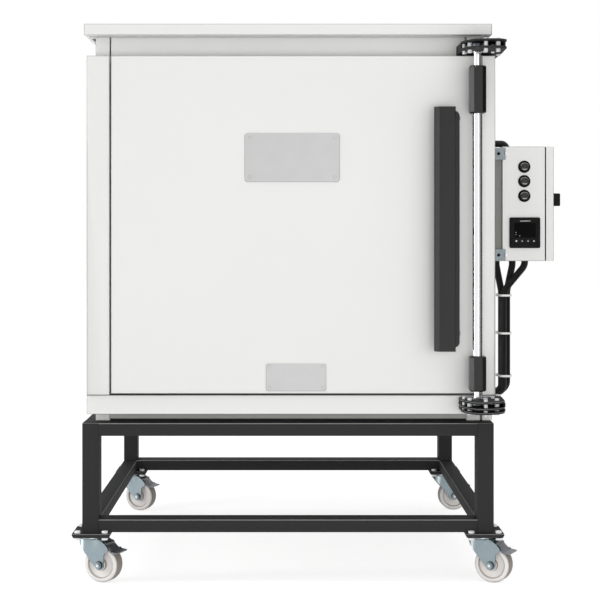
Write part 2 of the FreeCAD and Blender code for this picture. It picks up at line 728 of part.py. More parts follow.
def rear_lining():
    block = box(-LINING_SIDE, LINING_SIDE, CHAMBER_BACK, LINING_BACK, CHAMBER_BOTTOM, CHAMBER_TOP)
    block = without_posts(block)
    for side in (-1, 1):
        for z in element_heights():
            block = block.cut(element_socket(side, z, CHAMBER_BACK - 1))
    probe = Part.makeCylinder(PROBE_RADIUS + SEAT_GAP, REAR_LINING + 2,
                              Vector(0, CHAMBER_BACK - 1, probe_height()), BACKWARD)
    return block.cut(probe)


def slab_lining(z0, z1):
    slab = box(-LINING_SIDE, LINING_SIDE, LINING_FRONT, LINING_BACK, z0, z1)
    return without_posts(slab)


def heating_tubes():
    """Ceramic tubes that carry the wire coils, one in each groove."""
    y0 = LINING_FRONT + ELEMENT_LIP - ELEMENT_SOCKET + SEAT_GAP
    y1 = CHAMBER_BACK + ELEMENT_SOCKET - SEAT_GAP
    tubes = []
    for side in (-1, 1):
        for z in element_heights():
            at = Vector(element_x(side), y0, z)
            tubes.append(Part.makeCylinder(ELEMENT_TUBE_RADIUS, y1 - y0, at, BACKWARD))
    return tubes


def probe_height():
    return CHAMBER_TOP - CHAMBER_HEIGHT / 4


def thermocouple():
    """Ceramic sheath through the rear wall, with a round connection head outside."""
    z = probe_height()
    back = BODY_BACK - PANEL_RECESS
    sheath = Part.makeCylinder(PROBE_RADIUS, back + PROBE_RADIUS - CHAMBER_BACK + PROBE_REACH,
                               Vector(0, CHAMBER_BACK - PROBE_REACH, z), BACKWARD)
    head = Part.makeCylinder(PROBE_HEAD_RADIUS, PROBE_HEAD_LENGTH, Vector(0, back, z), BACKWARD)
    return joined([sheath, head])


def rear_cover():
    """Louvred cover over the element ends and the probe head."""
    y0 = BODY_BACK - PANEL_RECESS
    y1 = y0 + REAR_COVER_DEPTH
    x = REAR_COVER_WIDTH / 2
    z0 = (CHAMBER_BOTTOM + CHAMBER_TOP - REAR_COVER_HEIGHT) / 2
    z1 = z0 + REAR_COVER_HEIGHT
    cover = box(-x, x, y0, y1, z0, z1)
    back = [edge for edge in cover.Edges if edge.CenterOfMass.y > y1 - 0.01]
    cover = cover.makeFillet(REAR_COVER_ROUND, back)
    cover = cover.cut(box(-x + SHEET, x - SHEET, y0 - 1, y1 - SHEET, z0 + SHEET, z1 - SHEET))
    rows = int((REAR_COVER_HEIGHT - 3 * LOUVRE_MARGIN) / LOUVRE_PITCH / 2)
    slots = []
    for row in range(rows):
        for start in (z0 + LOUVRE_MARGIN, z1 - LOUVRE_MARGIN - (rows - 1) * LOUVRE_PITCH):
            for centre in (-x / 2, x / 2):
                z = start + row * LOUVRE_PITCH
                slots.append(box(centre - x * 0.36, centre + x * 0.36, y1 - 2 * SHEET, y1 + 1,
                                 z, z + LOUVRE_HEIGHT))
    for opening in slots:
        cover = cover.cut(opening)
    return cover


# Door

def door_outline(inset):
    """The door in plan: its left side is relieved so that it swings clear of the jamb."""
    left = DOOR_LEFT + inset
    right = DOOR_RIGHT - inset
    return face((left, inset, 0), (right, inset, 0), (right, DOOR_THICK, 0),
                (left + DOOR_TAPER, DOOR_THICK, 0))


def door_pan():
    pan = plan_prism(door_outline(0.0), DOOR_BOTTOM, SURROUND_TOP)
    front = [edge for edge in pan.Edges if edge.CenterOfMass.y < 0.01]
    pan = pan.makeFillet(DOOR_ROUND, front)
    return pan.cut(plan_prism(door_outline(SHEET), DOOR_BOTTOM + SHEET, SURROUND_TOP - SHEET))


def door_lining():
    """Board that fills the pan, with the bevelled plug that closes the chamber's mouth."""
    fill = plan_prism(door_outline(SHEET), DOOR_BOTTOM + SHEET, SURROUND_TOP - SHEET)
    wide = CHAMBER_SIDE - PLUG_GAP
    low = CHAMBER_BOTTOM + PLUG_GAP
    high = CHAMBER_TOP - PLUG_GAP
    plug_back = BODY_FRONT + PLUG_DEPTH
    rings = []
    for y, inset in ((DOOR_THICK, 0.0), (BODY_FRONT, 0.0), (plug_back, PLUG_TAPER)):
        corners = ((-wide + inset, y, low + inset), (wide - inset, y, low + inset),
                   (wide - inset, y, high - inset), (-wide + inset, y, high - inset))
        rings.append(Part.makePolygon([Vector(*c) for c in corners + corners[:1]]))
    return joined([fill, Part.makeLoft(rings, True, True)])


def seal_box(out, y0, y1):
    side = CHAMBER_SIDE + out
    return box(-side, side, y0, y1, CHAMBER_BOTTOM - out, CHAMBER_TOP + out)


def door_seal():
    """Fibre rope round the mouth, squeezed between the door and the mouth frame."""
    y1 = BODY_FRONT - SEAT_GAP
    ring = seal_box(SEAL_OUT_FROM_CHAMBER + SEAL_WIDTH, DOOR_THICK, y1)
    ring = round_along(ring, SEAL_WIDTH, BACKWARD)
    return ring.cut(seal_box(SEAL_OUT_FROM_CHAMBER, DOOR_THICK - 1, y1 + 1))


def door_handle():
    """Folded grip with a bevelled free edge, on a foot bar that is screwed from the side."""
    t = HANDLE_SHEET
    out = -HANDLE_OUT
    c = HANDLE_CHAMFER
    wall = HANDLE_WALL
    grip = plan_prism(face(
        (wall, 0, 0), (wall, out + 2, 0), (wall - 2, out, 0), (HANDLE_LEFT + c, out, 0),
        (HANDLE_LEFT + 0.42 * c, out + 0.5 * c, 0), (HANDLE_LEFT, out + 1.3 * c, 0),
        (HANDLE_LEFT + 0.88 * t, out + 1.3 * c + 0.46 * t, 0),
        (HANDLE_LEFT + 0.42 * c + 0.77 * t, out + 0.5 * c + 0.62 * t, 0),
        (HANDLE_LEFT + c + 0.35 * t, out + t, 0), (wall - t, out + t, 0), (wall - t, 0, 0),
    ), HANDLE_BOTTOM, HANDLE_TOP)
    foot = box(wall - t, HANDLE_FOOT_RIGHT, -HANDLE_FOOT_OUT, 0,
               HANDLE_BOTTOM + HANDLE_FOOT_INSET, HANDLE_TOP - HANDLE_FOOT_INSET)
    foot = round_along(foot, HANDLE_FOOT_ROUND, BACKWARD, lambda middle: middle.x > wall)
    return joined([grip, foot])


def sleeve(z0, z1):
    """Eight-sided sleeve on the rod with a web that joins it to the door's face."""
    half = SLEEVE_WIDTH / 2
    c = half - SLEEVE_CHAMFER
    ring = face((-half, -c, 0), (-c, -half, 0), (c, -half, 0), (half, -c, 0),
                (half, c, 0), (c, half, 0), (-c, half, 0), (-half, c, 0))
    eight = plan_prism(ring, z0, z1)
    ends = [edge for edge in eight.Edges if edge.tangentAt(edge.FirstParameter).cross(UP).Length > 0.5]
    eight = moved(eight.makeChamfer(SLEEVE_END, ends), ROD_X, ROD_Y)
    web = box(ROD_X - SLEEVE_WEB / 2, ROD_X + SLEEVE_WEB / 2 - 2, ROD_Y, 0, z0 + 6, z1 - 6)
    bore = Part.makeCylinder(ROD_RADIUS, z1 - z0 + 2, Vector(ROD_X, ROD_Y, z0 - 1))
    return joined([eight, web]).cut(bore)


def hinge_rod():
    """Chromed rod: thick through both sleeves, necked in the plates, with a collar at each pack."""
    low = BOTTOM_PLATES[0] - 6
    high = TOP_PLATES[-1] + PLATE_THICK + 6
    low_neck = SLEEVE_SPANS[0][0] + 1
    high_neck = SLEEVE_SPANS[1][1] - 1
    low_seat = BOTTOM_PLATES[-1] + PLATE_THICK + SEAT_GAP
    high_seat = TOP_PLATES[0] - SEAT_GAP
    neck = ROD_NECK_RADIUS
    rod = spun(face(
        (0, low, 0), (neck - 1, low, 0), (neck, low + 1, 0), (neck, low_seat, 0),
        (COLLAR_RADIUS, low_seat, 0), (COLLAR_RADIUS, low_seat + COLLAR_HEIGHT, 0),
        (neck, low_seat + COLLAR_HEIGHT, 0), (neck, low_neck, 0), (ROD_RADIUS, low_neck, 0),
        (ROD_RADIUS, high_neck, 0), (neck, high_neck, 0), (neck, high_seat - COLLAR_HEIGHT, 0),
        (COLLAR_RADIUS, high_seat - COLLAR_HEIGHT, 0), (COLLAR_RADIUS, high_seat, 0),
        (neck, high_seat, 0), (neck, high - 1, 0), (neck - 1, high, 0), (0, high, 0),
    ))
    return moved(rod, ROD_X, ROD_Y)


def hinge_plate(z0, back, arm_back, front_right):
    """One corner plate: a rounded nose round the rod and an arm along the hinge post."""
    arm_in = SURROUND_RIGHT + SEAT_GAP
    arm_middle = (arm_in + PLATE_RIGHT) / 2
    arm_round = (PLATE_RIGHT - arm_in) / 2
    nose = ROD_Y - PLATE_REACH
    steps = [
        (PLATE_LEFT, ROD_Y + 10, 0),
        ((PLATE_LEFT + 7, nose + PLATE_NOSE, 0), (ROD_X - 6, nose, 0)),
        (ROD_X + 12, nose, 0),
        ((PLATE_RIGHT - 15, (nose + front_right) / 2 - 6, 0), (PLATE_RIGHT - 3, front_right, 0)),
        (PLATE_RIGHT, ROD_Y + 45, 0),
        (PLATE_RIGHT, arm_back, 0),
        ((arm_middle, arm_back + arm_round, 0), (arm_in, arm_back, 0)),
        (arm_in, 0, 0),
    ]
    if back:
        steps += [(SURROUND_RIGHT, 0, 0), (SURROUND_RIGHT, back, 0)]
    plate = plan_prism(face((PLATE_LEFT, back, 0), *steps), z0, z0 + PLATE_THICK)
    bore = Part.makeCylinder(ROD_NECK_RADIUS + SHAFT_GAP, PLATE_THICK + 2, Vector(ROD_X, ROD_Y, z0 - 1))
    return plate.cut(bore)


def hinge_webs(levels, back):
    """Upright webs between the plates at both ends and the back, and a bush round the rod."""
    pieces = []
    right = PLATE_RIGHT - 3 - WEB_THICK
    for low, high in zip(levels, levels[1:]):
        z0 = low + PLATE_THICK
        pieces.append(box(PLATE_LEFT, PLATE_LEFT + WEB_THICK, ROD_Y + 12, back - WEB_THICK, z0, high))
        pieces.append(box(right, right + WEB_THICK, ROD_Y - 30, -WEB_THICK, z0, high))
        pieces.append(box(PLATE_LEFT, SURROUND_RIGHT, back - WEB_THICK, back, z0, high))
        bush = Part.makeCylinder(BUSH_RADIUS, high - z0, Vector(ROD_X, ROD_Y, z0))
        bore = Part.makeCylinder(ROD_NECK_RADIUS + SHAFT_GAP, high - z0, Vector(ROD_X, ROD_Y, z0))
        pieces.append(bush.cut(bore))
    return pieces


def hinge_pack(levels, back, arm_back, front_right):
    plates = [hinge_plate(z, back, arm_back, front_right) for z in levels]
    return plates + hinge_webs(levels, back)


def hinge_bolts():
    """Heads, spacers between the plates and nuts, for both packs of plates."""
    pieces = []
    for levels in (BOTTOM_PLATES, TOP_PLATES):
        spans = [(levels[0] - PLATE_HEAD, levels[0])]
        for low, high in zip(levels, levels[1:]):
            spans.append((low + PLATE_THICK, high))
        spans.append((levels[-1] + PLATE_THICK, levels[-1] + PLATE_THICK + PLATE_HEAD))
        for (x, y), radius in zip(PLATE_BOLTS, PLATE_BOLT_RADII):
            for z0, z1 in spans:
                pieces.append(hexagon(2 * radius, x, y, z0, z1))
    return pieces


def name_plates():
    """Two blank metal plates, the large one above and the small one below."""
    plates = []
    for (x0, x1, z0, z1), corner in zip(NAME_PLATES, NAME_PLATE_CORNERS):
        plate = box(x0, x1, -NAME_PLATE_THICK, 0, z0, z1)
        plates.append(round_along(plate, corner, BACKWARD))
    return plates


def door_screws():
    """Screws at the corners of the name plates, and in the side of the handle's foot."""
    heads = []
    for (x0, x1, z0, z1), inset in zip(NAME_PLATES, NAME_PLATE_SCREWS):
        for x in (x0 + inset, x1 - inset):
            for z in (z0 + inset, z1 - inset):
                at = Vector(x, -NAME_PLATE_THICK - SCREW_HEAD, z)
                heads.append(Part.makeCylinder(SCREW_RADIUS, SCREW_HEAD, at, BACKWARD))
    for z in HANDLE_SCREWS:
        at = Vector(HANDLE_FOOT_RIGHT, -HANDLE_FOOT_OUT / 2, z)
        heads.append(Part.makeCylinder(HANDLE_SCREW_RADIUS, HANDLE_SCREW_HEAD, at, RIGHTWARD))
    return heads


# Control box

def case_shell():
    """Steel case, open on its right side, with an inward lip and two hinge ears."""
    outer = box(CASE_LEFT, CASE_RIGHT, CASE_FRONT, CASE_BACK, CASE_BOTTOM, CASE_TOP)
    outer = round_along(outer, 2.0, RIGHTWARD)
    inner = box(CASE_LEFT + SHEET, CASE_RIGHT - SHEET, CASE_FRONT + SHEET, CASE_BACK - SHEET,
                CASE_BOTTOM + SHEET, CASE_TOP - SHEET)
    opening = box(CASE_RIGHT - 2 * SHEET, CASE_RIGHT + 1, CASE_FRONT + CASE_LIP, CASE_BACK - CASE_LIP,
                  CASE_BOTTOM + CASE_LIP, CASE_TOP - CASE_LIP)
    shell = outer.cut(inner).cut(opening)
    for z in BUTTON_HEIGHTS:
        hole_at = Vector(BUTTON_X, CASE_FRONT - 1, z)
        shell = shell.cut(Part.makeCylinder(BEZEL_BARREL_RADIUS, SHEET + 2, hole_at, BACKWARD))
    half = CONTROLLER_BODY / 2
    shell = shell.cut(box(CONTROLLER_X - half, CONTROLLER_X + half, CASE_FRONT - 1,
                          CASE_FRONT + SHEET + 1, CONTROLLER_HEIGHT - half, CONTROLLER_HEIGHT + half))
    for x, (_, y) in list(zip(CONDUIT_STARTS, bundle_places()))[:2]:
        at = Vector(x, y, CASE_BOTTOM - 1)
        shell = shell.cut(Part.makeCylinder(CONDUIT_RADIUS + SEAT_GAP, SHEET + 2, at))
    at = Vector(MAINS_GLAND_X, CASE_BACK - SHEET - 1, MAINS_GLAND_HEIGHT)
    shell = shell.cut(Part.makeCylinder(MAINS_GLAND_BORE, SHEET + 2, at, BACKWARD))
    shell = shell.cut(hose(top_conduit_points(), [TOP_CONDUIT_BEND], CONDUIT_RADIUS + SEAT_GAP))
    ears = [case_ear(z) for z in ear_levels()]
    return joined([shell] + ears)


def case_axis():
    """The place of the control box's hinge pins in plan."""
    return CASE_DOOR_LEFT + CASE_HINGE_IN - 0.5, CASE_BACK - CASE_HINGE_IN


def ear_levels():
    clear = SHEET + 1.5
    return (CASE_BOTTOM + clear, CASE_TOP - clear - CASE_EAR)


def case_ear(z):
    """Tongue from the case's back wall into the door's tray, with its pin in the tray's wall."""
    x, y = case_axis()
    reach = 4.0
    tongue = box(CASE_RIGHT - 2 * CASE_LIP, x, y - reach, y + reach, z, z + CASE_EAR)
    wall = box(CASE_RIGHT - 2 * CASE_LIP, CASE_RIGHT, y - reach, CASE_BACK - SHEET, z, z + CASE_EAR)
    tip = Part.makeCylinder(reach, CASE_EAR, Vector(x, y, z))
    top = z > (CASE_BOTTOM + CASE_TOP) / 2
    pin_z = z if top else CASE_BOTTOM + 0.4
    pin_end = CASE_TOP - 0.4 if top else z + CASE_EAR
    pin = Part.makeCylinder(CASE_HINGE_PIN, pin_end - pin_z, Vector(x, y, pin_z))
    return joined([tongue, wall, tip, pin])


def case_door():
    """Tray door on the right, notched round the hinge ears."""
    tray = box(CASE_DOOR_LEFT, CASE_DOOR_RIGHT, CASE_FRONT, CASE_BACK, CASE_BOTTOM, CASE_TOP)
    outer = [edge for edge in tray.Edges if edge.CenterOfMass.x > CASE_DOOR_RIGHT - 0.01]
    tray = tray.makeFillet(2.0, outer)
    tray = tray.cut(box(CASE_DOOR_LEFT - 1, CASE_DOOR_RIGHT - CASE_DOOR_SHEET, CASE_FRONT + SHEET,
                        CASE_BACK - SHEET, CASE_BOTTOM + SHEET, CASE_TOP - SHEET))
    x, y = case_axis()
    for z in ear_levels():
        tray = tray.cut(box(CASE_DOOR_LEFT - 1, x + 7.5, CASE_BACK - 2 * SHEET, CASE_BACK + 1,
                            z - 1, z + CASE_EAR + 1))
    bore = Part.makeCylinder(CASE_HINGE_PIN + SHAFT_GAP, CASE_HEIGHT + 2, Vector(x, y, CASE_BOTTOM - 1))
    shaft = Part.makeCylinder(LOCK_SHAFT_RADIUS + SHAFT_GAP, 10,
                              Vector(CASE_DOOR_RIGHT - 5, lock_y(), LOCK_HEIGHT), RIGHTWARD)
    return tray.cut(bore).cut(shaft)


def lock_y():
    return CASE_FRONT + LOCK_FROM_FRONT


def case_lock():
    """Quarter-turn knob with a shaft through the door and a cam that hooks behind the case's lip."""
    at = Vector(CASE_DOOR_RIGHT + SEAT_GAP, lock_y(), LOCK_HEIGHT)
    base = Part.makeCylinder(LOCK_RADIUS, LOCK_BASE, at, RIGHTWARD)
    half = LOCK_WING / 2
    tall = LOCK_WING_HEIGHT / 2
    wing = box(at.x, CASE_DOOR_RIGHT + LOCK_OUT, at.y - half, at.y + half,
               LOCK_HEIGHT - tall, LOCK_HEIGHT + tall)
    wing = round_along(wing, 3.0, BACKWARD, lambda middle: middle.x > at.x + LOCK_BASE)
    cam_x = CASE_RIGHT - SHEET - LOCK_CAM_GAP
    shaft_at = Vector(cam_x - 1, at.y, at.z)
    shaft = Part.makeCylinder(LOCK_SHAFT_RADIUS, at.x - cam_x + 1, shaft_at, RIGHTWARD)
    t = LOCK_CAM_THICK
    cam = box(cam_x - t, cam_x, at.y - half, at.y + half,
              LOCK_HEIGHT - LOCK_NUT_RADIUS, LOCK_HEIGHT + LOCK_CAM_REACH)
    nut_at = Vector(CASE_DOOR_RIGHT - CASE_DOOR_SHEET - SEAT_GAP - t, at.y, at.z)
    nut = Part.makeCylinder(LOCK_NUT_RADIUS, t, nut_at, RIGHTWARD)
    return joined([base, wing, shaft, cam, nut])


def bezels():
    """Threaded push button bodies: a ring outside the case and a barrel inside it."""
    rings = []
    for z in BUTTON_HEIGHTS:
        outer = face(
            (BUTTON_RADIUS + 0.4, -BEZEL_OUT), (BEZEL_RADIUS - 2.0, -BEZEL_OUT),
            (BEZEL_RADIUS, -BEZEL_OUT + 2.0), (BEZEL_RADIUS, 0.0), (BEZEL_BARREL_RADIUS, 0.0),
            (BEZEL_BARREL_RADIUS, BEZEL_BARREL), (0, BEZEL_BARREL), (0, BEZEL_BARREL - 3),
            (BUTTON_RADIUS + 0.4, BEZEL_BARREL - 3),
        )
        ring = outer.revolve(ORIGIN, BACKWARD, 360)
        rings.append(moved(ring, BUTTON_X, CASE_FRONT, z))
    return rings


def push_button(z):
    """Domed cap with its plunger, free to slide inside the bezel."""
    rim = -BEZEL_OUT + 0.5
    crown = -BEZEL_OUT - BUTTON_OUT
    back = BEZEL_BARREL - 3 - BUTTON_TRAVEL - 1
    outline = face(
        (0, crown), ((BUTTON_RADIUS * 0.62, crown + 1.1), (BUTTON_RADIUS, rim)),
        (BUTTON_RADIUS, back), (0, back),
    )
    cap = outline.revolve(ORIGIN, BACKWARD, 360)
    return moved(cap, BUTTON_X, CASE_FRONT, z)


def controller():
    """Square controller: a bevelled bezel on the case and its body inside."""
    half = CONTROLLER_SIZE / 2
    bezel = box(-half, half, -CONTROLLER_BEZEL, 0, -half, half)
    bezel = round_along(bezel, CONTROLLER_CORNER, BACKWARD)
    front = [edge for edge in bezel.Edges if edge.CenterOfMass.y < -CONTROLLER_BEZEL + 0.01]
    bezel = bezel.makeChamfer(CONTROLLER_CHAMFER, front)
    glass = half - CONTROLLER_FRAME
    window = box(-glass, glass, -CONTROLLER_BEZEL - 1, -CONTROLLER_BEZEL + 1, -glass, glass)
    inner = CONTROLLER_BODY / 2
    body = box(-inner, inner, 0, CONTROLLER_DEPTH, -inner, inner)
    return moved(joined([bezel.cut(window), body]), CONTROLLER_X, CASE_FRONT, CONTROLLER_HEIGHT)


def case_brackets():
    """Two zinc brackets that fix the case to its stand-off channel."""
    brackets = []
    y0 = CASE_FRONT - BRACKET_THICK
    for z0 in (CASE_BOTTOM, CASE_TOP - BRACKET_HEIGHT - 3):
        z1 = z0 + BRACKET_HEIGHT
        plate = box(BRACKET_LEFT, CASE_LEFT + BRACKET_OVER_CASE, y0, CASE_FRONT, z0, z1)
        foot = box(BRACKET_LEFT, CASE_LEFT - 1.0, CASE_FRONT, CASE_FRONT + CHANNEL_RECESS, z0, z1)
        brackets.append(joined([plate, foot]))
    return brackets


def case_channel():
    """Stand-off channel between the body's side and the case."""
    y0 = CASE_FRONT + CHANNEL_RECESS
    return bar(PANEL_SIDE, CASE_LEFT, y0, y0 + CHANNEL_DEPTH, CASE_BOTTOM, CASE_TOP - 3, UP,
               CHANNEL_WALL, CHANNEL_WALL)


def case_insides():
    """Mounting plate with a contactor, a solid-state relay and a terminal strip."""
    x0 = CASE_LEFT + SHEET
    x1 = x0 + MOUNTING_PLATE
    y0 = CASE_FRONT + PLATE_FROM_FRONT
    y1 = CASE_BACK - PLATE_MARGIN
    z0 = CASE_BOTTOM + PLATE_MARGIN
    z1 = CASE_TOP - PLATE_MARGIN
    plate = box(x0, x1, y0, y1, z0, z1)
    relay_y = y0 + PLATE_MARGIN
    contactor_y = relay_y + RELAY_WIDTH + COMPONENT_GAP
    top = z1 - COMPONENT_GAP
    contactor = box(x1, x1 + CONTACTOR_DEPTH, contactor_y, contactor_y + CONTACTOR_WIDTH,
                    top - CONTACTOR_HEIGHT, top)
    relay = box(x1, x1 + RELAY_DEPTH, relay_y, relay_y + RELAY_WIDTH, top - RELAY_HEIGHT, top)
    low = z0 + STRIP_LIFT
    strip = box(x1, x1 + STRIP_DEPTH, relay_y, contactor_y + CONTACTOR_WIDTH, low, low + STRIP_HEIGHT)
    return [plate, contactor, relay, strip]


# Conduits

def hose(points, radii, radius):
    """A round hose along straight runs joined by tangent arcs, one radius for each corner."""
    edges = []
    here = Vector(*points[0])
    for before, corner, after, bend in zip(points, points[1:], points[2:], radii):
        a = (Vector(*before) - Vector(*corner)).normalize()
        b = (Vector(*after) - Vector(*corner)).normalize()
        turn = math.pi - a.getAngle(b)
        tangent = bend * math.tan(turn / 2)
        start = Vector(*corner) + a * tangent
        end = Vector(*corner) + b * tangent
        inward = (a + b).normalize()
        middle = Vector(*corner) + inward * (bend / math.cos(turn / 2) - bend)
        edges.append(Part.makeLine(here, start))
        edges.append(Part.Arc(start, middle, end).toShape())
        here = end
    edges.append(Part.makeLine(here, Vector(*points[-1])))
    first = (Vector(*points[1]) - Vector(*points[0])).normalize()
    ring = Part.Wire([Part.makeCircle(radius, Vector(*points[0]), first)])
    return Part.Wire(edges).makePipeShell([ring], True, True)


def bundle_places():
    """Each conduit's place in the bundle, in X and Y, from the front one to the back one."""
    return ((BUNDLE_X - BUNDLE_ZIGZAG, BUNDLE_FRONT),
            (BUNDLE_X + BUNDLE_ZIGZAG, BUNDLE_FRONT + CONDUIT_PITCH_Y),
            (BUNDLE_X - BUNDLE_ZIGZAG, BUNDLE_FRONT + 2 * CONDUIT_PITCH_Y))


def conduits():
    """Two conduits from the case and one from its channel, bundled into an elbow, and one on top."""
    hoses = []
    inside = (CASE_BOTTOM + SHEET + LOCKNUT_HEIGHT, CASE_BOTTOM + SHEET + LOCKNUT_HEIGHT, CASE_BOTTOM)
    for x0, top, (x, y) in zip(CONDUIT_STARTS, inside, bundle_places()):
        points = (
            (x0, y, top), (x0, y, CASE_BOTTOM - CONDUIT_DROP), (x, y, BUNDLE_JOIN),
            (x, y, CONDUIT_ENTRY_HEIGHT),
            (PANEL_SIDE + GLAND_HEIGHT, y, CONDUIT_ENTRY_HEIGHT),
        )
        elbow = ELBOW_RADIUS + x - BUNDLE_X
        hoses.append(hose(points, (CONDUIT_TOP_BEND, CONDUIT_LOW_BEND, elbow), CONDUIT_RADIUS))
    hoses.append(hose(top_conduit_points(), [TOP_CONDUIT_BEND], CONDUIT_RADIUS))
    return hoses


def top_conduit_points():
    return ((PANEL_SIDE + GLAND_HEIGHT, TOP_CONDUIT_Y, TOP_CONDUIT_HEIGHT),
            (TOP_CONDUIT_X, TOP_CONDUIT_Y, TOP_CONDUIT_HEIGHT),
            (TOP_CONDUIT_X, TOP_CONDUIT_Y, TOP_CONDUIT_HEIGHT - 2.4 * TOP_CONDUIT_BEND))


def conduit_glands():
    """Locknuts inside the case, entry plates on the body and the gland for the mains lead."""
    pieces = []
    for x, (_, y) in list(zip(CONDUIT_STARTS, bundle_places()))[:2]:
        at = Vector(x, y, CASE_BOTTOM + SHEET)
        ring = Part.makeCylinder(GLAND_RADIUS, LOCKNUT_HEIGHT, at)
        pieces.append(ring.cut(Part.makeCylinder(CONDUIT_RADIUS, LOCKNUT_HEIGHT, at)))
    front = bundle_places()[0][1]
    back = bundle_places()[-1][1]
    plate = box(PANEL_SIDE, PANEL_SIDE + GLAND_HEIGHT, front - GLAND_RADIUS, back + GLAND_RADIUS,
                CONDUIT_ENTRY_HEIGHT - GLAND_RADIUS, CONDUIT_ENTRY_HEIGHT + GLAND_RADIUS)
    pieces.append(round_along(plate, GLAND_RADIUS / 2, RIGHTWARD))
    at = Vector(PANEL_SIDE, TOP_CONDUIT_Y, TOP_CONDUIT_HEIGHT)
    pieces.append(Part.makeCylinder(GLAND_RADIUS, GLAND_HEIGHT, at, RIGHTWARD))
    at = Vector(MAINS_GLAND_X, CASE_BACK, MAINS_GLAND_HEIGHT)
    nut = Part.makeCylinder(GLAND_RADIUS, 2 * GLAND_HEIGHT, at, BACKWARD)
    hole = Part.makeCylinder(MAINS_GLAND_BORE, 2 * GLAND_HEIGHT + 2, at - BACKWARD, BACKWARD)
    pieces.append(nut.cut(hole))
    return pieces


def cable_ties():
    """Nylon ties round the bundle: a rounded band and its square head."""
    r = CONDUIT_RADIUS
    x0 = BUNDLE_X - BUNDLE_ZIGZAG - r
    x1 = BUNDLE_X + BUNDLE_ZIGZAG + r
    y0 = BUNDLE_FRONT - r
    y1 = BUNDLE_FRONT + 2 * CONDUIT_PITCH_Y + r
    t = TIE_THICK
    middle = TIE_LOW + TIE_MIDDLE * (TIE_TOP - TIE_LOW)
    ties = []
    for z in (TIE_TOP, middle, TIE_LOW):
        outer = box(x0 - t, x1 + t, y0 - t, y1 + t, z, z + TIE_WIDTH)
        inner = box(x0, x1, y0, y1, z - 1, z + TIE_WIDTH + 1)
        band = round_along(outer, r + t, UP).cut(round_along(inner, r, UP))
        head_y = y1 - 2 * TIE_HEAD
        head = box(x0 - t / 2 - TIE_HEAD, x0 - t / 2, head_y - TIE_HEAD, head_y, z - 1, z + TIE_WIDTH + 1)
        ties.append(joined([band, head]))
    return ties


def all_nodes():
    """Every node's name with its solid or its group of solids."""
    nodes = {
        "stand_legs": stand_legs(),
        "stand_bottom_rails": stand_ring(STAND_BOTTOM),
        "stand_top_rails": stand_ring(STAND_TOP - RAIL_HEIGHT),
        "caster_bolts": caster_bolts(),
        "body_posts": body_posts(),
        "side_panel_left": side_panel(-1),
        "side_panel_right": side_panel(1),
        "rear_panel": rear_panel(),
        "floor_pan": floor_pan(),
        "front_header": front_header(),
        "mouth_frame": mouth_frame(),
        "lid": lid(),
        "door_surround": door_surround(),
        "hinge_post": hinge_post(),
        "wall_lining": wall_lining(),
        "rear_lining": rear_lining(),
        "floor_lining": slab_lining(LINING_BOTTOM, CHAMBER_BOTTOM),
        "roof_lining": slab_lining(CHAMBER_TOP, BODY_TOP),
        "heating_tubes": heating_tubes(),
        "thermocouple": thermocouple(),
        "rear_cover": rear_cover(),
        "door_pan": door_pan(),
        "door_lining": door_lining(),
        "door_seal": door_seal(),
        "door_handle": door_handle(),
        "door_screws": door_screws(),
        "name_plates": name_plates(),
        "hinge_sleeves": [sleeve(z0, z1) for z0, z1 in SLEEVE_SPANS],
        "hinge_rod": hinge_rod(),
        "hinge_plates_bottom": hinge_pack(BOTTOM_PLATES, 0.0, BOTTOM_ARM_BACK, BOTTOM_PLATE_CORNER),
        "hinge_plates_top": hinge_pack(TOP_PLATES, BODY_FRONT, TOP_ARM_BACK, TOP_PLATE_CORNER),
        "hinge_bolts": hinge_bolts(),
        "control_case": case_shell(),
        "control_door": case_door(),
        "control_lock": case_lock(),
        "control_insides": case_insides(),
        "control_brackets": case_brackets(),
        "control_channel": case_channel(),
        "button_bezels": bezels(),
        "controller": controller(),
        "conduits": conduits(),
        "conduit_glands": conduit_glands(),
        "cable_ties": cable_ties(),
    }
    for number, z in enumerate(BUTTON_HEIGHTS, 1):
        nodes["push_button_%d" % number] = push_button(z)
    pads = []
    plates = []
    for name, x, y in caster_places():
        pad = caster_base(PAD_WIDTH, PAD_LENGTH, PAD_THICK, PAD_CORNER, CASTER_HEIGHT)
        pads.append(at_caster(pad, name, x, y, False))
        plates.append(at_caster(caster_top_plate(), name, x, y, False))
        nodes["fork_" + name] = at_caster(caster_fork(), name, x, y, True)
        nodes["wheel_" + name] = at_caster(caster_wheel(), name, x, y, True)
        nodes["brake_pedal_" + name] = at_caster(brake_pedal(), name, x, y, True)
    nodes["caster_pads"] = pads
    nodes["caster_plates"] = plates
    return nodes


def as_one(piece):
    return Part.makeCompound(piece) if isinstance(piece, list) else piece


def exact_box(shape):
    return shape.optimalBoundingBox(False, False)


NODES = {name: as_one(piece) for name, piece in all_nodes().items()}
WHOLE = exact_box(NODES["stand_legs"])
for shape in NODES.values():
    WHOLE.add(exact_box(shape))
SHIFT = Vector(-WHOLE.Center.x, -WHOLE.Center.y, 0)

os.makedirs("parts", exist_ok=True)
for node, shape in NODES.items():
    shape.translate(SHIFT)
    shape.exportStep("parts/%s.step" % node)
print("nodes", len(NODES), "size", WHOLE.XLength, WHOLE.YLength, WHOLE.ZMin, WHOLE.ZMax, "shift", SHIFT)
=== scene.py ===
import bpy
import bmesh
import json
import math
from mathutils import Matrix, Vector

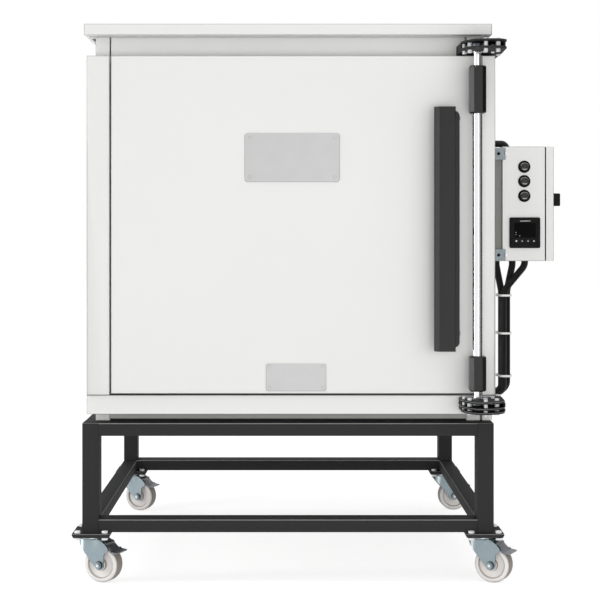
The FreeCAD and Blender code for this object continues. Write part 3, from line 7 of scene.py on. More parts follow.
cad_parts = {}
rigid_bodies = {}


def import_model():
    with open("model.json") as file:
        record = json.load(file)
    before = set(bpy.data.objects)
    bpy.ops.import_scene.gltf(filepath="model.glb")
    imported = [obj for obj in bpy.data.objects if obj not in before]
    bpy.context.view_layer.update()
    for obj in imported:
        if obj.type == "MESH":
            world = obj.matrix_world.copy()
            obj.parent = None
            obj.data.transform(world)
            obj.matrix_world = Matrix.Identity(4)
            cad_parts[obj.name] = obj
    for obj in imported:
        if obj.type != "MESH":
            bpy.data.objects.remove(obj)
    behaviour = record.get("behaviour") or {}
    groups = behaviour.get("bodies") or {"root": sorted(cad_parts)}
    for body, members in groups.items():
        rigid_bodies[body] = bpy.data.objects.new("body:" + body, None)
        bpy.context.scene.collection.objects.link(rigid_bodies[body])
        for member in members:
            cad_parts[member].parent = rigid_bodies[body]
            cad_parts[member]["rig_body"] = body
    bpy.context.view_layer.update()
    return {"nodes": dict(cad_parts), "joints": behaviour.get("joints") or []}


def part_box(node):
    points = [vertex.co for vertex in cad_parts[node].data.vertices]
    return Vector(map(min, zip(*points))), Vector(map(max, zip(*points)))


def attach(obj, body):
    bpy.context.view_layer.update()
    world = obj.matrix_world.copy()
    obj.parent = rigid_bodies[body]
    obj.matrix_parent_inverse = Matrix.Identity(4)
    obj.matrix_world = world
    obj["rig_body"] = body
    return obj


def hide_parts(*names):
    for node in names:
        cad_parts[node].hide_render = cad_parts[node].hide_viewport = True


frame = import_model()


# The studio: a plain pale floor and a white surround, two soft boxes in front, a strip light at
# the left and one above. A grey card and dark flags at the sides show in reflections alone.
# The camera stands level in front of the door.
camera_distance = 3.53
camera_height = 0.784
posts_low, posts_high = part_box("body_posts")
body_middle = (posts_low.x + posts_high.x) / 2
stand_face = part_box("stand_legs")[0].y

camera_data = bpy.data.cameras.new("camera")
camera_data.sensor_width = 36.0
camera_data.lens = 96.27
camera_data.shift_x = 0.02
camera_data.shift_y = -0.1217
camera_data.clip_end = 60.0
camera = bpy.data.objects.new("camera", camera_data)
camera.location = (body_middle, stand_face - camera_distance, camera_height)
camera.rotation_euler = (math.radians(90), 0, 0)
bpy.context.scene.collection.objects.link(camera)
bpy.context.scene.camera = camera
bpy.context.scene.view_settings.view_transform = "Standard"


def math_node(tree, operation, *values):
    """The result of a maths node on sockets or plain numbers."""
    node = tree.nodes.new("ShaderNodeMath")
    node.operation = operation
    for socket, value in zip(node.inputs, values):
        if isinstance(value, float):
            socket.default_value = value
        else:
            tree.links.new(value, socket)
    return node.outputs[0]


def sees_surround(tree):
    """1 for rays that show the surround itself: camera, mirror-like and see-through ones."""
    path = tree.nodes.new("ShaderNodeLightPath")
    direct = math_node(tree, "MAXIMUM", path.outputs["Is Camera Ray"], path.outputs["Is Glossy Ray"])
    return math_node(tree, "MAXIMUM", direct, path.outputs["Is Transmission Ray"])


world = bpy.data.worlds.new("studio")
world.use_nodes = True
bpy.context.scene.world = world
sky = world.node_tree
sky.nodes.clear()
lighting = sky.nodes.new("ShaderNodeBackground")
lighting.inputs["Color"].default_value = (1, 1, 1, 1)
lighting.inputs["Strength"].default_value = 0.5
seen = sky.nodes.new("ShaderNodeBackground")
seen.inputs["Color"].default_value = (1, 1, 1, 1)
seen.inputs["Strength"].default_value = 1.0
either = sky.nodes.new("ShaderNodeMixShader")
sky_out = sky.nodes.new("ShaderNodeOutputWorld")
sky.links.new(sees_surround(sky), either.inputs[0])
sky.links.new(lighting.outputs[0], either.inputs[1])
sky.links.new(seen.outputs[0], either.inputs[2])
sky.links.new(either.outputs[0], sky_out.inputs[0])


def flat_panel(name, size_x, size_y, placing):
    """A flat studio panel with its place in its mesh."""
    grown = bmesh.new()
    bmesh.ops.create_grid(grown, x_segments=1, y_segments=1, size=0.5)
    bmesh.ops.scale(grown, vec=(size_x, size_y, 1), verts=grown.verts)
    bmesh.ops.transform(grown, matrix=placing, verts=grown.verts)
    mesh = bpy.data.meshes.new(name)
    grown.to_mesh(mesh)
    grown.free()
    panel = bpy.data.objects.new(name, mesh)
    bpy.context.scene.collection.objects.link(panel)
    return panel


floor = flat_panel("floor", 30, 30, Matrix.Translation((0, 0, 0)))
floor_paint = bpy.data.materials.new("floor")
floor_paint.use_nodes = True
ground = floor_paint.node_tree
ground.nodes.clear()
plain = ground.nodes.new("ShaderNodeBsdfDiffuse")
plain.inputs["Color"].default_value = (0.8, 0.8, 0.8, 1)
shown = ground.nodes.new("ShaderNodeBsdfDiffuse")
shown.inputs["Color"].default_value = (0.55, 0.55, 0.55, 1)
lift = ground.nodes.new("ShaderNodeEmission")
lift.inputs["Strength"].default_value = 0.76
both = ground.nodes.new("ShaderNodeAddShader")
choice = ground.nodes.new("ShaderNodeMixShader")
ground_out = ground.nodes.new("ShaderNodeOutputMaterial")
ground.links.new(shown.outputs[0], both.inputs[0])
ground.links.new(lift.outputs[0], both.inputs[1])
ground.links.new(sees_surround(ground), choice.inputs[0])
ground.links.new(plain.outputs[0], choice.inputs[1])
ground.links.new(both.outputs[0], choice.inputs[2])
ground.links.new(choice.outputs[0], ground_out.inputs[0])
floor.data.materials.append(floor_paint)


def only_reflected(panel, name, shade, roughness):
    """Paints a studio panel plain grey and shows it in reflections alone."""
    paint = bpy.data.materials.new(name)
    paint.use_nodes = True
    shader = paint.node_tree.nodes["Principled BSDF"]
    shader.inputs["Base Color"].default_value = (shade, shade, shade, 1)
    shader.inputs["Roughness"].default_value = roughness
    panel.data.materials.append(paint)
    panel.visible_camera = False
    panel.visible_diffuse = False
    panel.visible_shadow = False
    panel.visible_transmission = False


studio_middle = 0.9
card_aside = 2.4
card_ahead = 1.7
card_turn = 62
flag_aside = 2.6
flag_behind = 0.75
card_place = (Matrix.Translation((body_middle + card_aside, stand_face - card_ahead, studio_middle))
              @ Matrix.Rotation(math.radians(card_turn), 4, "Z") @ Matrix.Rotation(math.radians(90), 4, "X"))
only_reflected(flat_panel("card", 1.9, 3.4, card_place), "card_grey", 0.12, 0.5)
for side in (-1, 1):
    flag_spot = (body_middle + side * flag_aside, stand_face + flag_behind, studio_middle)
    flag_place = Matrix.Translation(flag_spot) @ Matrix.Rotation(math.radians(90), 4, "Y")
    only_reflected(flat_panel("flag", 3.0, 2.5, flag_place), "flag_cloth", 0.01, 0.9)

for name, place, aim, size, watts in (
        ("front_box", (0.25, -3.9, 0.62), (0, -0.4, 0.85), (1.6, 1.2), 42.0),
        ("fill_box", (2.0, -3.3, 0.9), (0.1, -0.4, 0.9), (2.0, 1.6), 17.0),
        ("left_strip", (-2.3, -0.62, 0.9), (0, -0.5, 0.9), (0.28, 2.6), 26.0),
        ("top_strip", (0.0, -0.9, 3.6), (0, -0.3, 0.8), (3.0, 0.7), 13.0)):
    lamp_data = bpy.data.lights.new(name, "AREA")
    lamp_data.shape = "RECTANGLE"
    lamp_data.size = size[0]
    lamp_data.size_y = size[1]
    lamp_data.energy = watts
    lamp = bpy.data.objects.new(name, lamp_data)
    lamp.location = place
    lamp.rotation_euler = (Vector(aim) - Vector(place)).to_track_quat("-Z", "Y").to_euler()
    lamp.visible_camera = False
    lamp.visible_glossy = name != "front_box"
    bpy.context.scene.collection.objects.link(lamp)


# The stand: four legs and eight rails of rectangular steel tube, cut to length and welded, then
# powder coated charcoal. A painted highlight of lighter grey lies on the rounded upper edges of the tubes.
def node_group(name, inputs, outputs):
    """A new shader node group with its sockets, given as pairs of label and kind."""
    group = bpy.data.node_groups.new(name, "ShaderNodeTree")
    for way, pairs in (("INPUT", inputs), ("OUTPUT", outputs)):
        for label, kind in pairs:
            group.interface.new_socket(label, in_out=way, socket_type="NodeSocket" + kind)
    given = group.nodes.new("NodeGroupInput") if inputs else None
    return group, given, group.nodes.new("NodeGroupOutput")


def level_node(tree, value, start, end, curve="SMOOTHSTEP"):
    """0 where a value is at the start and 1 where it is at the end, eased between them."""
    level = tree.nodes.new("ShaderNodeMapRange")
    level.interpolation_type = curve
    level.inputs["From Min"].default_value = start
    level.inputs["From Max"].default_value = end
    tree.links.new(value, level.inputs["Value"])
    return level.outputs["Result"]


def mix_node(tree, factor, first, second, blend="MIX"):
    """The result of mixing two colours, where each value is a socket or a plain value."""
    mix = tree.nodes.new("ShaderNodeMix")
    mix.data_type = "RGBA"
    mix.blend_type = blend
    for label, value in (("Factor", factor), ("A", first), ("B", second)):
        if isinstance(value, (float, tuple)):
            mix.inputs[label].default_value = value
        else:
            tree.links.new(value, mix.inputs[label])
    return mix.outputs["Result"]


def grain_group():
    """Mottling and fine relief of a finish, at two scales, from a pattern position."""
    group, given, out = node_group(
        "finish_grain",
        (("Vector", "Vector"), ("Broad Scale", "Float"), ("Fine Scale", "Float"), ("Mottle", "Float"),
         ("Roughness", "Float"), ("Roughness Spread", "Float"), ("Colour", "Color"),
         ("Second Colour", "Color")),
        (("Colour", "Color"), ("Roughness", "Float"), ("Height", "Float")))
    patterns = []
    for scale, detail in (("Broad Scale", 4.0), ("Fine Scale", 2.0)):
        noise = group.nodes.new("ShaderNodeTexNoise")
        noise.inputs["Detail"].default_value = detail
        group.links.new(given.outputs["Vector"], noise.inputs["Vector"])
        group.links.new(given.outputs[scale], noise.inputs["Scale"])
        patterns.append(noise.outputs["Fac"])
    broad, fine = patterns
    amount = math_node(group, "MULTIPLY", broad, given.outputs["Mottle"])
    colour = mix_node(group, amount, given.outputs["Colour"], given.outputs["Second Colour"])
    roughness = math_node(group, "MULTIPLY_ADD", broad, given.outputs["Roughness Spread"],
                          given.outputs["Roughness"])
    group.links.new(colour, out.inputs["Colour"])
    group.links.new(roughness, out.inputs["Roughness"])
    group.links.new(fine, out.inputs["Height"])
    return group


def top_highlight_group():
    """A mask of the rounded edges round top faces, where a painted highlight is laid."""
    group, given, out = node_group("painted_top_highlight", (), (("Mask", "Float"),))
    place = group.nodes.new("ShaderNodeTexCoord")
    parts = group.nodes.new("ShaderNodeSeparateXYZ")
    group.links.new(place.outputs["Normal"], parts.inputs[0])
    leaning = level_node(group, parts.outputs["Z"], 0.2, 0.45)
    not_flat = level_node(group, parts.outputs["Z"], 0.97, 0.80)
    group.links.new(math_node(group, "MULTIPLY", leaning, not_flat), out.inputs["Mask"])
    return group


def fold_shade_group():
    """A mask of the rounded folds and edges of squarely built pieces, where painted shade is laid."""
    group, given, out = node_group("painted_fold_shade", (), (("Mask", "Float"),))
    place = group.nodes.new("ShaderNodeTexCoord")
    size = group.nodes.new("ShaderNodeVectorMath")
    size.operation = "ABSOLUTE"
    parts = group.nodes.new("ShaderNodeSeparateXYZ")
    group.links.new(place.outputs["Normal"], size.inputs[0])
    group.links.new(size.outputs["Vector"], parts.inputs[0])
    level_part = math_node(group, "MAXIMUM", parts.outputs["X"], parts.outputs["Y"])
    largest = math_node(group, "MAXIMUM", level_part, parts.outputs["Z"])
    group.links.new(level_node(group, largest, 0.985, 0.86), out.inputs["Mask"])
    return group


def hollow_shade_group():
    """A mask of narrow inner corners and recesses, where painted shade is laid."""
    group, given, out = node_group("painted_hollow_shade", (), (("Mask", "Float"),))
    near = group.nodes.new("ShaderNodeAmbientOcclusion")
    near.samples = 6
    near.inputs["Distance"].default_value = 0.012
    group.links.new(level_node(group, near.outputs["AO"], 0.95, 0.35, "LINEAR"), out.inputs["Mask"])
    return group


finish_grain = grain_group()
painted_top_highlight = top_highlight_group()
painted_fold_shade = fold_shade_group()
painted_hollow_shade = hollow_shade_group()


def finish(name, colour, second, roughness, spread=0.08, metallic=0.0, broad=6.0, fine=900.0,
           mottle=0.5, relief=0.00002, specular=0.5, painted_highlight=None, hollow_shade=None, fold_shade=None):
    """A finish of the grain group, with painted shade on its folds and hollows and a painted highlight on its
    upper edges.
    """
    material = bpy.data.materials.new(name)
    material.use_nodes = True
    tree = material.node_tree
    shader = tree.nodes["Principled BSDF"]
    place = tree.nodes.new("ShaderNodeTexCoord")
    grain = tree.nodes.new("ShaderNodeGroup")
    grain.node_tree = finish_grain
    for label, value in (("Broad Scale", broad), ("Fine Scale", fine), ("Mottle", mottle),
                         ("Roughness", roughness), ("Roughness Spread", spread),
                         ("Colour", (*colour, 1)), ("Second Colour", (*second, 1))):
        grain.inputs[label].default_value = value
    bump = tree.nodes.new("ShaderNodeBump")
    bump.inputs["Distance"].default_value = relief
    tree.links.new(place.outputs["Object"], grain.inputs["Vector"])
    tree.links.new(grain.outputs["Height"], bump.inputs["Height"])
    tree.links.new(bump.outputs["Normal"], shader.inputs["Normal"])
    tree.links.new(grain.outputs["Roughness"], shader.inputs["Roughness"])
    shader.inputs["Metallic"].default_value = metallic
    shader.inputs["Specular IOR Level"].default_value = specular
    shade = grain.outputs["Colour"]
    for mask_group, laid in ((painted_fold_shade, fold_shade), (painted_top_highlight, painted_highlight), (painted_hollow_shade, hollow_shade)):
        if laid:
            mask = tree.nodes.new("ShaderNodeGroup")
            mask.node_tree = mask_group
            shade = mix_node(tree, mask.outputs["Mask"], shade, (*laid, 1))
    tree.links.new(shade, shader.inputs["Base Color"])
    return material


def body_of(node):
    """The body that a CAD node belongs to."""
    return frame["nodes"][node]["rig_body"]


def new_object(name, grown, material, smooth):
    """An object from a finished bmesh, smooth up to an angle, in one material."""
    mesh = bpy.data.meshes.new(name)
    grown.to_mesh(mesh)
    grown.free()
    mesh.polygons.foreach_set("use_smooth", [True] * len(mesh.polygons))
    mesh.set_sharp_from_angle(angle=math.radians(smooth))
    mesh.materials.append(material)
    piece = bpy.data.objects.new(name, mesh)
    bpy.context.scene.collection.objects.link(piece)
    return piece


def dressed(node, material, edge=0.0008):
    """A merged copy of a CAD node with small rounded edges, which stands for the node."""
    copy = bmesh.new()
    copy.from_mesh(frame["nodes"][node].data)
    bmesh.ops.remove_doubles(copy, verts=copy.verts, dist=0.00001)
    bmesh.ops.dissolve_limit(copy, angle_limit=math.radians(0.5), verts=copy.verts, edges=copy.edges)
    piece = new_object(node + "_skin", copy, material, 32)
    if edge:
        bevel = piece.modifiers.new("edges", "BEVEL")
        bevel.width = edge
        bevel.segments = 2
        bevel.limit_method = "ANGLE"
        bevel.angle_limit = math.radians(40)
        bevel.harden_normals = True
    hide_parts(node)
    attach(piece, body_of(node))
    return piece


def own_piece(name, grown, material, body, smooth=32):
    """A piece that is in the scene alone, from a finished bmesh, and rides on a body."""
    piece = new_object(name, grown, material, smooth)
    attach(piece, body)
    return piece


# The lighter grey given for the faces that lean upwards at the tubes' rounded edges is a painted highlight.
charcoal = finish("charcoal_coat", (0.034, 0.034, 0.034), (0.040, 0.040, 0.041), 0.58, 0.08,
                  broad=9.0, fine=1100.0, relief=0.00003, specular=0.04, painted_highlight=(0.34, 0.34, 0.33))
for node in ("stand_legs", "stand_top_rails", "stand_bottom_rails"):
    dressed(node, charcoal, 0.0006)


# The caster pads: steel plates welded under the legs and coated with the stand, and the hex
# bolts that hold the casters to them. These and the hinge's bolts are bright zinc.
dressed("caster_pads", charcoal, 0.0012)
zinc = finish("zinc_plate", (0.40, 0.455, 0.49), (0.28, 0.33, 0.37), 0.30, 0.16, metallic=1.0,
              broad=70.0, fine=420.0, mottle=0.9, relief=0.00002)
bright_zinc = finish("bright_zinc", (0.86, 0.87, 0.88), (0.70, 0.72, 0.75), 0.28, 0.12, metallic=0.25,
                     broad=90.0, fine=600.0, relief=0.00001)
for node in ("caster_bolts", "hinge_bolts"):
    dressed(node, bright_zinc, 0.0007)


# The casters: a dark top plate, a pressed fork of blue zinc, a wheel of cream nylon on a bolted
# axle and a bent brake pedal on each. The fork carries painted bands of highlight and shade by how
# far each face turns from the axle, and the wheel's tread, where faces turn away from the axle, is painted
# dark brown.
dressed("caster_plates", charcoal, 0.0006)
# The near-black given for the pedal's hollows is painted shade.
pedal_zinc = finish("pedal_zinc", (0.27, 0.285, 0.305), (0.12, 0.13, 0.145), 0.36, 0.16, metallic=0.9,
                    broad=140.0, fine=500.0, mottle=1.0, hollow_shade=(0.02, 0.022, 0.025))
dark_steel = finish("dark_steel", (0.030, 0.034, 0.036), (0.05, 0.055, 0.06), 0.35, 0.2, metallic=0.5,
                    broad=120.0)


def rim_group():
    """How far a face looks along an axle, and a mask that is 1 where it looks away from it."""
    group, given, out = node_group("wheel_rim", (("Axle", "Vector"),),
                                   (("Facing", "Float"), ("Mask", "Float")))
    place = group.nodes.new("ShaderNodeTexCoord")
    along = group.nodes.new("ShaderNodeVectorMath")
    along.operation = "DOT_PRODUCT"
    group.links.new(place.outputs["Normal"], along.inputs[0])
    group.links.new(given.outputs["Axle"], along.inputs[1])
    facing = math_node(group, "ABSOLUTE", along.outputs["Value"])
    group.links.new(level_node(group, facing, 0.85, 0.15), out.inputs["Mask"])
    group.links.new(facing, out.inputs["Facing"])
    return group


wheel_rim = rim_group()


def axle_view(tree, name):
    """The rim group in a material, set to the axle of a caster."""
    rim = tree.nodes.new("ShaderNodeGroup")
    rim.node_tree = wheel_rim
    rim.inputs["Axle"].default_value = rolling[name]["axis"]
    return rim


casters = ("front_left", "front_right", "rear_left", "rear_right")
rolling = {joint["name"][5:]: joint for joint in frame["joints"] if joint["name"].startswith("roll_")}
# Painted highlight and shade: the fork's zinc gets dark and bright bands by how far each face looks along the
# axle.
fork_painted_light = ((0.40, (0.03, 0.042, 0.046)), (0.62, (0.13, 0.165, 0.175)), (0.80, (0.40, 0.47, 0.50)),
              (0.93, (0.95, 1.0, 1.0)), (0.985, (0.42, 0.49, 0.515)), (1.0, (0.31, 0.375, 0.40)))
for name in casters:
    pressed = finish("pressed_zinc_" + name, (1, 1, 1), (0.86, 0.88, 0.9), 0.36, 0.14, metallic=0.85,
                     broad=70.0, fine=420.0, mottle=0.9, relief=0.00002)
    tree = pressed.node_tree
    base = tree.nodes["Principled BSDF"].inputs["Base Color"]
    painted_bands = tree.nodes.new("ShaderNodeValToRGB")
    painted_bands.color_ramp.interpolation = "EASE"
    while len(painted_bands.color_ramp.elements) < len(fork_painted_light):
        painted_bands.color_ramp.elements.new(0.5)
    for element, (place, shade) in zip(painted_bands.color_ramp.elements, fork_painted_light):
        element.position = place
        element.color = (*shade, 1)
    tree.links.new(axle_view(tree, name).outputs["Facing"], painted_bands.inputs["Fac"])
    painted_light_tint = mix_node(tree, 1.0, painted_bands.outputs["Color"], base.links[0].from_socket, "MULTIPLY")
    tree.links.new(painted_light_tint, base)
    dressed("fork_" + name, pressed, 0.0006)
    dressed("brake_pedal_" + name, pedal_zinc, 0.0006)

axle_half = 0.0285
for name, joint in rolling.items():
    facing = Vector(joint["axis"]).to_track_quat("Z", "Y").to_matrix().to_4x4()
    centre = Vector(joint["pos_m"])
    for label, segments, radius, depth, start, material in (
            ("axle_washer", 32, 0.0088, 0.0010, axle_half - 0.0055, dark_steel),
            ("axle_nut", 6, 0.0058, 0.0034, axle_half - 0.0008, zinc),
            ("axle_end", 20, 0.0028, 0.0012, axle_half + 0.0024, bright_zinc)):
        ends = bmesh.new()
        for side in (-1, 1):
            outwards = Matrix.Translation((0, 0, side * (start + depth / 2)))
            bmesh.ops.create_cone(ends, cap_ends=True, segments=segments, radius1=radius, radius2=radius,
                                  depth=depth, matrix=Matrix.Translation(centre) @ facing @ outwards)
        own_piece(label + "_" + name, ends, material, body_of("fork_" + name))

for name in casters:
    # The greyer colour given for the wheel's hollows is painted shade.
    nylon = finish("cream_nylon_" + name, (0.86, 0.84, 0.82), (0.80, 0.77, 0.74), 0.45, 0.12,
                   broad=40.0, fine=500.0, relief=0.00003, hollow_shade=(0.70, 0.645, 0.62))
    tree = nylon.node_tree
    base = tree.nodes["Principled BSDF"].inputs["Base Color"]
    # The tread, where faces look away from the axle, is painted dark brown.
    tread = axle_view(tree, name).outputs["Mask"]
    tree.links.new(mix_node(tree, tread, base.links[0].from_socket, (0.27, 0.235, 0.20, 1)), base)
    dressed("wheel_" + name, nylon, 0.0012)


# The body: steel corner posts with screwed side and rear sheets, a header band, a folded lid and
# a surround for the door, all in smooth off-white powder coat with painted shade on the folds. The floor pan
# is painted grey beige as painted shade, and two charcoal bars lie under it as dark pieces for the shade
# there, close behind the front rail and close before the rear one.
# The grey given for the rounded folds and edges of the white coat is painted shade.
white = finish("white_coat", (0.80, 0.80, 0.785), (0.765, 0.765, 0.75), 0.40, 0.08,
               broad=3.0, fine=750.0, mottle=0.5, relief=0.000012, fold_shade=(0.36, 0.36, 0.355))
for node in ("body_posts", "lid", "door_surround", "hinge_post", "front_header", "side_panel_left",
             "side_panel_right", "rear_panel", "mouth_frame", "rear_cover"):
    dressed(node, white, 0.0008)
# The floor pan's grey beige is painted shade: it stands for the white coat in shadow under the body.
shadow_paint = finish("grey_beige_painted_shade", (0.50, 0.495, 0.47), (0.44, 0.435, 0.41), 0.5, 0.1,
                      broad=5.0, fine=700.0)


def painted(material, *nodes):
    """Gives carried-over CAD nodes their finish."""
    for node in nodes:
        mesh = frame["nodes"][node].data
        mesh.materials.clear()
        mesh.materials.append(material)


painted(shadow_paint, "floor_pan")

back_low, back_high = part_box("rear_panel")
screw_head = 0.0045
screw_rise = 0.0016
screw_inset = 0.012
screw_rows = 6
screw_step = (back_high.z - back_low.z - 2 * screw_inset) / (screw_rows - 1)
sheet_screws = bmesh.new()
for row in range(screw_rows):
    for x in (back_low.x + screw_inset, back_high.x - screw_inset):
        z = back_low.z + screw_inset + row * screw_step
        spot = Matrix.Translation((x, back_high.y + screw_rise / 2, z))
        bmesh.ops.create_cone(sheet_screws, cap_ends=True, segments=14, radius1=screw_head,
                              radius2=screw_head * 0.7, depth=screw_rise,
                              matrix=spot @ Matrix.Rotation(math.radians(-90), 4, "X"))
own_piece("sheet_screws", sheet_screws, bright_zinc, body_of("rear_panel"))

rail_low, rail_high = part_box("stand_top_rails")
pan_low, pan_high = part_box("floor_pan")
rail_height = 0.028
under_pan = 0.0004
bearer_depth = 0.036
bearer_inset = 0.081
bearer_end = 0.0401
bearer_length = rail_high.x - rail_low.x - 2 * bearer_end
bearer_top = pan_low.z - under_pan
bearer_height = bearer_top - (rail_high.z - rail_height)
# These two charcoal bars are dark pieces put into the gap under the floor pan, where there is only shade.
shade_bars = bmesh.new()
for middle_y in (rail_low.y + bearer_inset, rail_high.y - bearer_inset):
    bar = bmesh.ops.create_cube(shade_bars, size=1.0)
    bmesh.ops.scale(shade_bars, vec=(bearer_length, bearer_depth, bearer_height), verts=bar["verts"])
    bmesh.ops.translate(shade_bars, verts=bar["verts"],
                        vec=((rail_low.x + rail_high.x) / 2, middle_y, bearer_top - bearer_height / 2))
own_piece("shade_bars_under_pan", shade_bars, charcoal, body_of("stand_top_rails"))


# The door and the linings: a folded pan in the same white coat and walls of ceramic fibre board.
# A rope of ceramic fibre in a square ring on the door's board closes the gap to the mouth.
dressed("door_pan", white, 0.0008)
board = finish("fibre_board", (0.84, 0.80, 0.72), (0.70, 0.65, 0.56), 0.9, 0.05,
               broad=14.0, fine=260.0, mottle=0.8, relief=0.0006, specular=0.2)
painted(board, "wall_lining", "rear_lining", "floor_lining", "roof_lining", "door_lining")
rope = finish("fibre_rope", (0.88, 0.86, 0.82), (0.74, 0.71, 0.65), 0.95, 0.04,
              broad=60.0, fine=500.0, mottle=0.8, relief=0.0006, specular=0.1)


def ridges(material, scale, direction, depth):
    """Adds rounded ridges that repeat along one direction to a finish."""
    tree = material.node_tree
    shader = tree.nodes["Principled BSDF"]
    fine_relief = shader.inputs["Normal"].links[0].from_socket
    place = tree.nodes.new("ShaderNodeTexCoord")
    across = tree.nodes.new("ShaderNodeVectorMath")
    across.operation = "DOT_PRODUCT"
    across.inputs[1].default_value = direction
    bump = tree.nodes.new("ShaderNodeBump")
    bump.inputs["Distance"].default_value = depth
    tree.links.new(place.outputs["Object"], across.inputs[0])
    turn = math_node(tree, "MULTIPLY", across.outputs["Value"], scale * 2 * math.pi)
    tree.links.new(math_node(tree, "SINE", turn), bump.inputs["Height"])
    tree.links.new(fine_relief, bump.inputs["Normal"])
    tree.links.new(bump.outputs["Normal"], shader.inputs["Normal"])


ridges(rope, 160.0, (1, 0, 1), 0.0012)
painted(rope, "door_seal")


# The elements: ceramic tubes in the grooves of the side walls, each with a coil of resistance
# wire wound round it, and a thermocouple in a ceramic sheath through the rear wall.
ceramic = finish("tube_ceramic", (0.80, 0.76, 0.68), (0.70, 0.65, 0.57), 0.6, 0.1, broad=30.0)
painted(ceramic, "heating_tubes", "thermocouple")
wire_metal = finish("element_wire", (0.20, 0.17, 0.15), (0.30, 0.24, 0.19), 0.45, 0.2, metallic=1.0,
                    broad=60.0, mottle=1.0)
tubes_low, tubes_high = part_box("heating_tubes")
tube_radius = 0.007
coil_radius = 0.0085
wire_radius = 0.001
coil_pitch = 0.0095
coil_margin = 0.045
rows = 6
steps_round = 8
row_step = (tubes_high.z - tubes_low.z - 2 * tube_radius) / (rows - 1)
coil = bmesh.new()
for tube_x in (tubes_low.x + tube_radius, tubes_high.x - tube_radius):
    for row in range(rows):
        rise = tubes_low.z + tube_radius + row * row_step
        start = Matrix.Translation((tube_x + coil_radius, tubes_low.y + coil_margin, rise))
        ring = bmesh.ops.create_circle(coil, cap_ends=False, radius=wire_radius, segments=5,
                                       matrix=start)["verts"]
        ring_edges = [edge for edge in coil.edges if edge.verts[0] in ring]
        bmesh.ops.spin(coil, geom=ring + ring_edges, cent=(tube_x, 0, rise), axis=(0, 1, 0),
                       dvec=(0, coil_pitch / steps_round, 0), angle=math.radians(360), steps=steps_round)
bmesh.ops.recalc_face_normals(coil, faces=coil.faces)
coils = own_piece("element_coils", coil, wire_metal, body_of("heating_tubes"), 60)
turns = coils.modifiers.new("turns", "ARRAY")
turns.count = int((tubes_high.y - tubes_low.y - 2 * coil_margin) / coil_pitch)
turns.use_relative_offset = False
turns.use_constant_offset = True
turns.constant_offset_displace = (0, coil_pitch, 0)


# The grip on the door: a folded charcoal bar on a foot that is screwed from its side. Its coat
# is smoother than the stand's, so that its folds catch the light.
satin_charcoal = finish("satin_charcoal", (0.006, 0.006, 0.006), (0.009, 0.009, 0.009), 0.26, 0.06,
                        broad=12.0, fine=1100.0, relief=0.00001, specular=0.4)
dressed("door_handle", satin_charcoal, 0.0008)
# The near-black given for the screws' rounded edges is painted shade.
screw_zinc = finish("screw_zinc", (0.62, 0.63, 0.64), (0.50, 0.51, 0.52), 0.3, 0.1, metallic=0.4,
                    broad=200.0, fold_shade=(0.05, 0.05, 0.05))
dressed("door_screws", screw_zinc, 0.0007)


# The name plates: two blank satin metal plates, each held to the door by a screw in each corner.
# Their pressed edges carry a painted shade line with a painted highlight line above it.
# The near-black for the rounded edges is painted shade, and the near-white for the upward-leaning edges is a
# painted highlight.
satin_metal = finish("satin_plate", (0.57, 0.57, 0.57), (0.50, 0.50, 0.505), 0.42, 0.10, metallic=0.75,
                     broad=30.0, fine=900.0, relief=0.00001, fold_shade=(0.10, 0.10, 0.10),
                     painted_highlight=(0.95, 0.95, 0.94))
dressed("name_plates", satin_metal, 0.0009)


# The hinge: a chromed steel rod that turns in two packs of charcoal coated plates, and the two
# black eight-sided sleeves that carry the door on it. Zinc bushes show where the rod meets the
# plates.
chrome = finish("chrome", (0.86, 0.86, 0.87), (0.80, 0.80, 0.82), 0.06, 0.04, metallic=1.0,
                broad=20.0, fine=1500.0, relief=0.000002)
dressed("hinge_rod", chrome, 0.0003)
dressed("hinge_sleeves", satin_charcoal, 0.0006)
rod_low, rod_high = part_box("hinge_rod")
rod_axis = Vector(((rod_low.x + rod_high.x) / 2, (rod_low.y + rod_high.y) / 2))
bush_reach = 0.0118
for node in ("hinge_plates_bottom", "hinge_plates_top"):
    pack = dressed(node, charcoal, 0.0009)
    pack.data.materials.append(zinc)
    for polygon in pack.data.polygons:
        if (Vector(polygon.center[:2]) - rod_axis).length < bush_reach:
            polygon.material_index = 1


# The nuts of the hinge packs: bright hex nuts on the bolts, in the gaps between the plates and on
# the packs' outer faces. Each row gives the lift of a nut's middle over the pack and its height.
top_rows = ((0.0096, 0.0102), (-0.0036, 0.0070), (0.0208, 0.0035))
bottom_rows = ((0.0177, 0.0086), (0.0065, 0.0044), (0.0289, 0.0046), (-0.0024, 0.0046))
nut_places = ((0.0165, 0.0488, 0.0049), (0.0475, 0.0168, 0.0044), (0.0745, 0.0248, 0.0050),
              (0.0065, 0.0748, 0.0030))
outer_bolt = 0.06
nut_turn = 14
nuts = bmesh.new()
for node, levels, drawn_in in (("hinge_plates_top", top_rows, 0.0),
                               ("hinge_plates_bottom", bottom_rows, 0.018)):
    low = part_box(node)[0]
    for across, ahead, radius in nut_places:
        back = drawn_in if across > outer_bolt else 0.0
        for rise, height in levels:
            spot = Matrix.Translation((low.x + across, low.y + ahead + back, low.z + rise))
            bmesh.ops.create_cone(nuts, cap_ends=True, segments=6, radius1=radius, radius2=radius * 0.97,
                                  depth=height, matrix=spot @ Matrix.Rotation(math.radians(nut_turn), 4, "Z"))
own_piece("hinge_nuts", nuts, bright_zinc, body_of("hinge_plates_top"))


# The control box: a folded steel case with a door on its right, a quarter-turn lock, two bolted
# zinc brackets that carry it off the body, and a channel between them for the wires, painted dark grey as
# painted shade. Inside, a zinc plate carries a beige contactor, a black relay and a grey terminal strip.
for node in ("control_case", "control_door"):
    dressed(node, white, 0.0006)
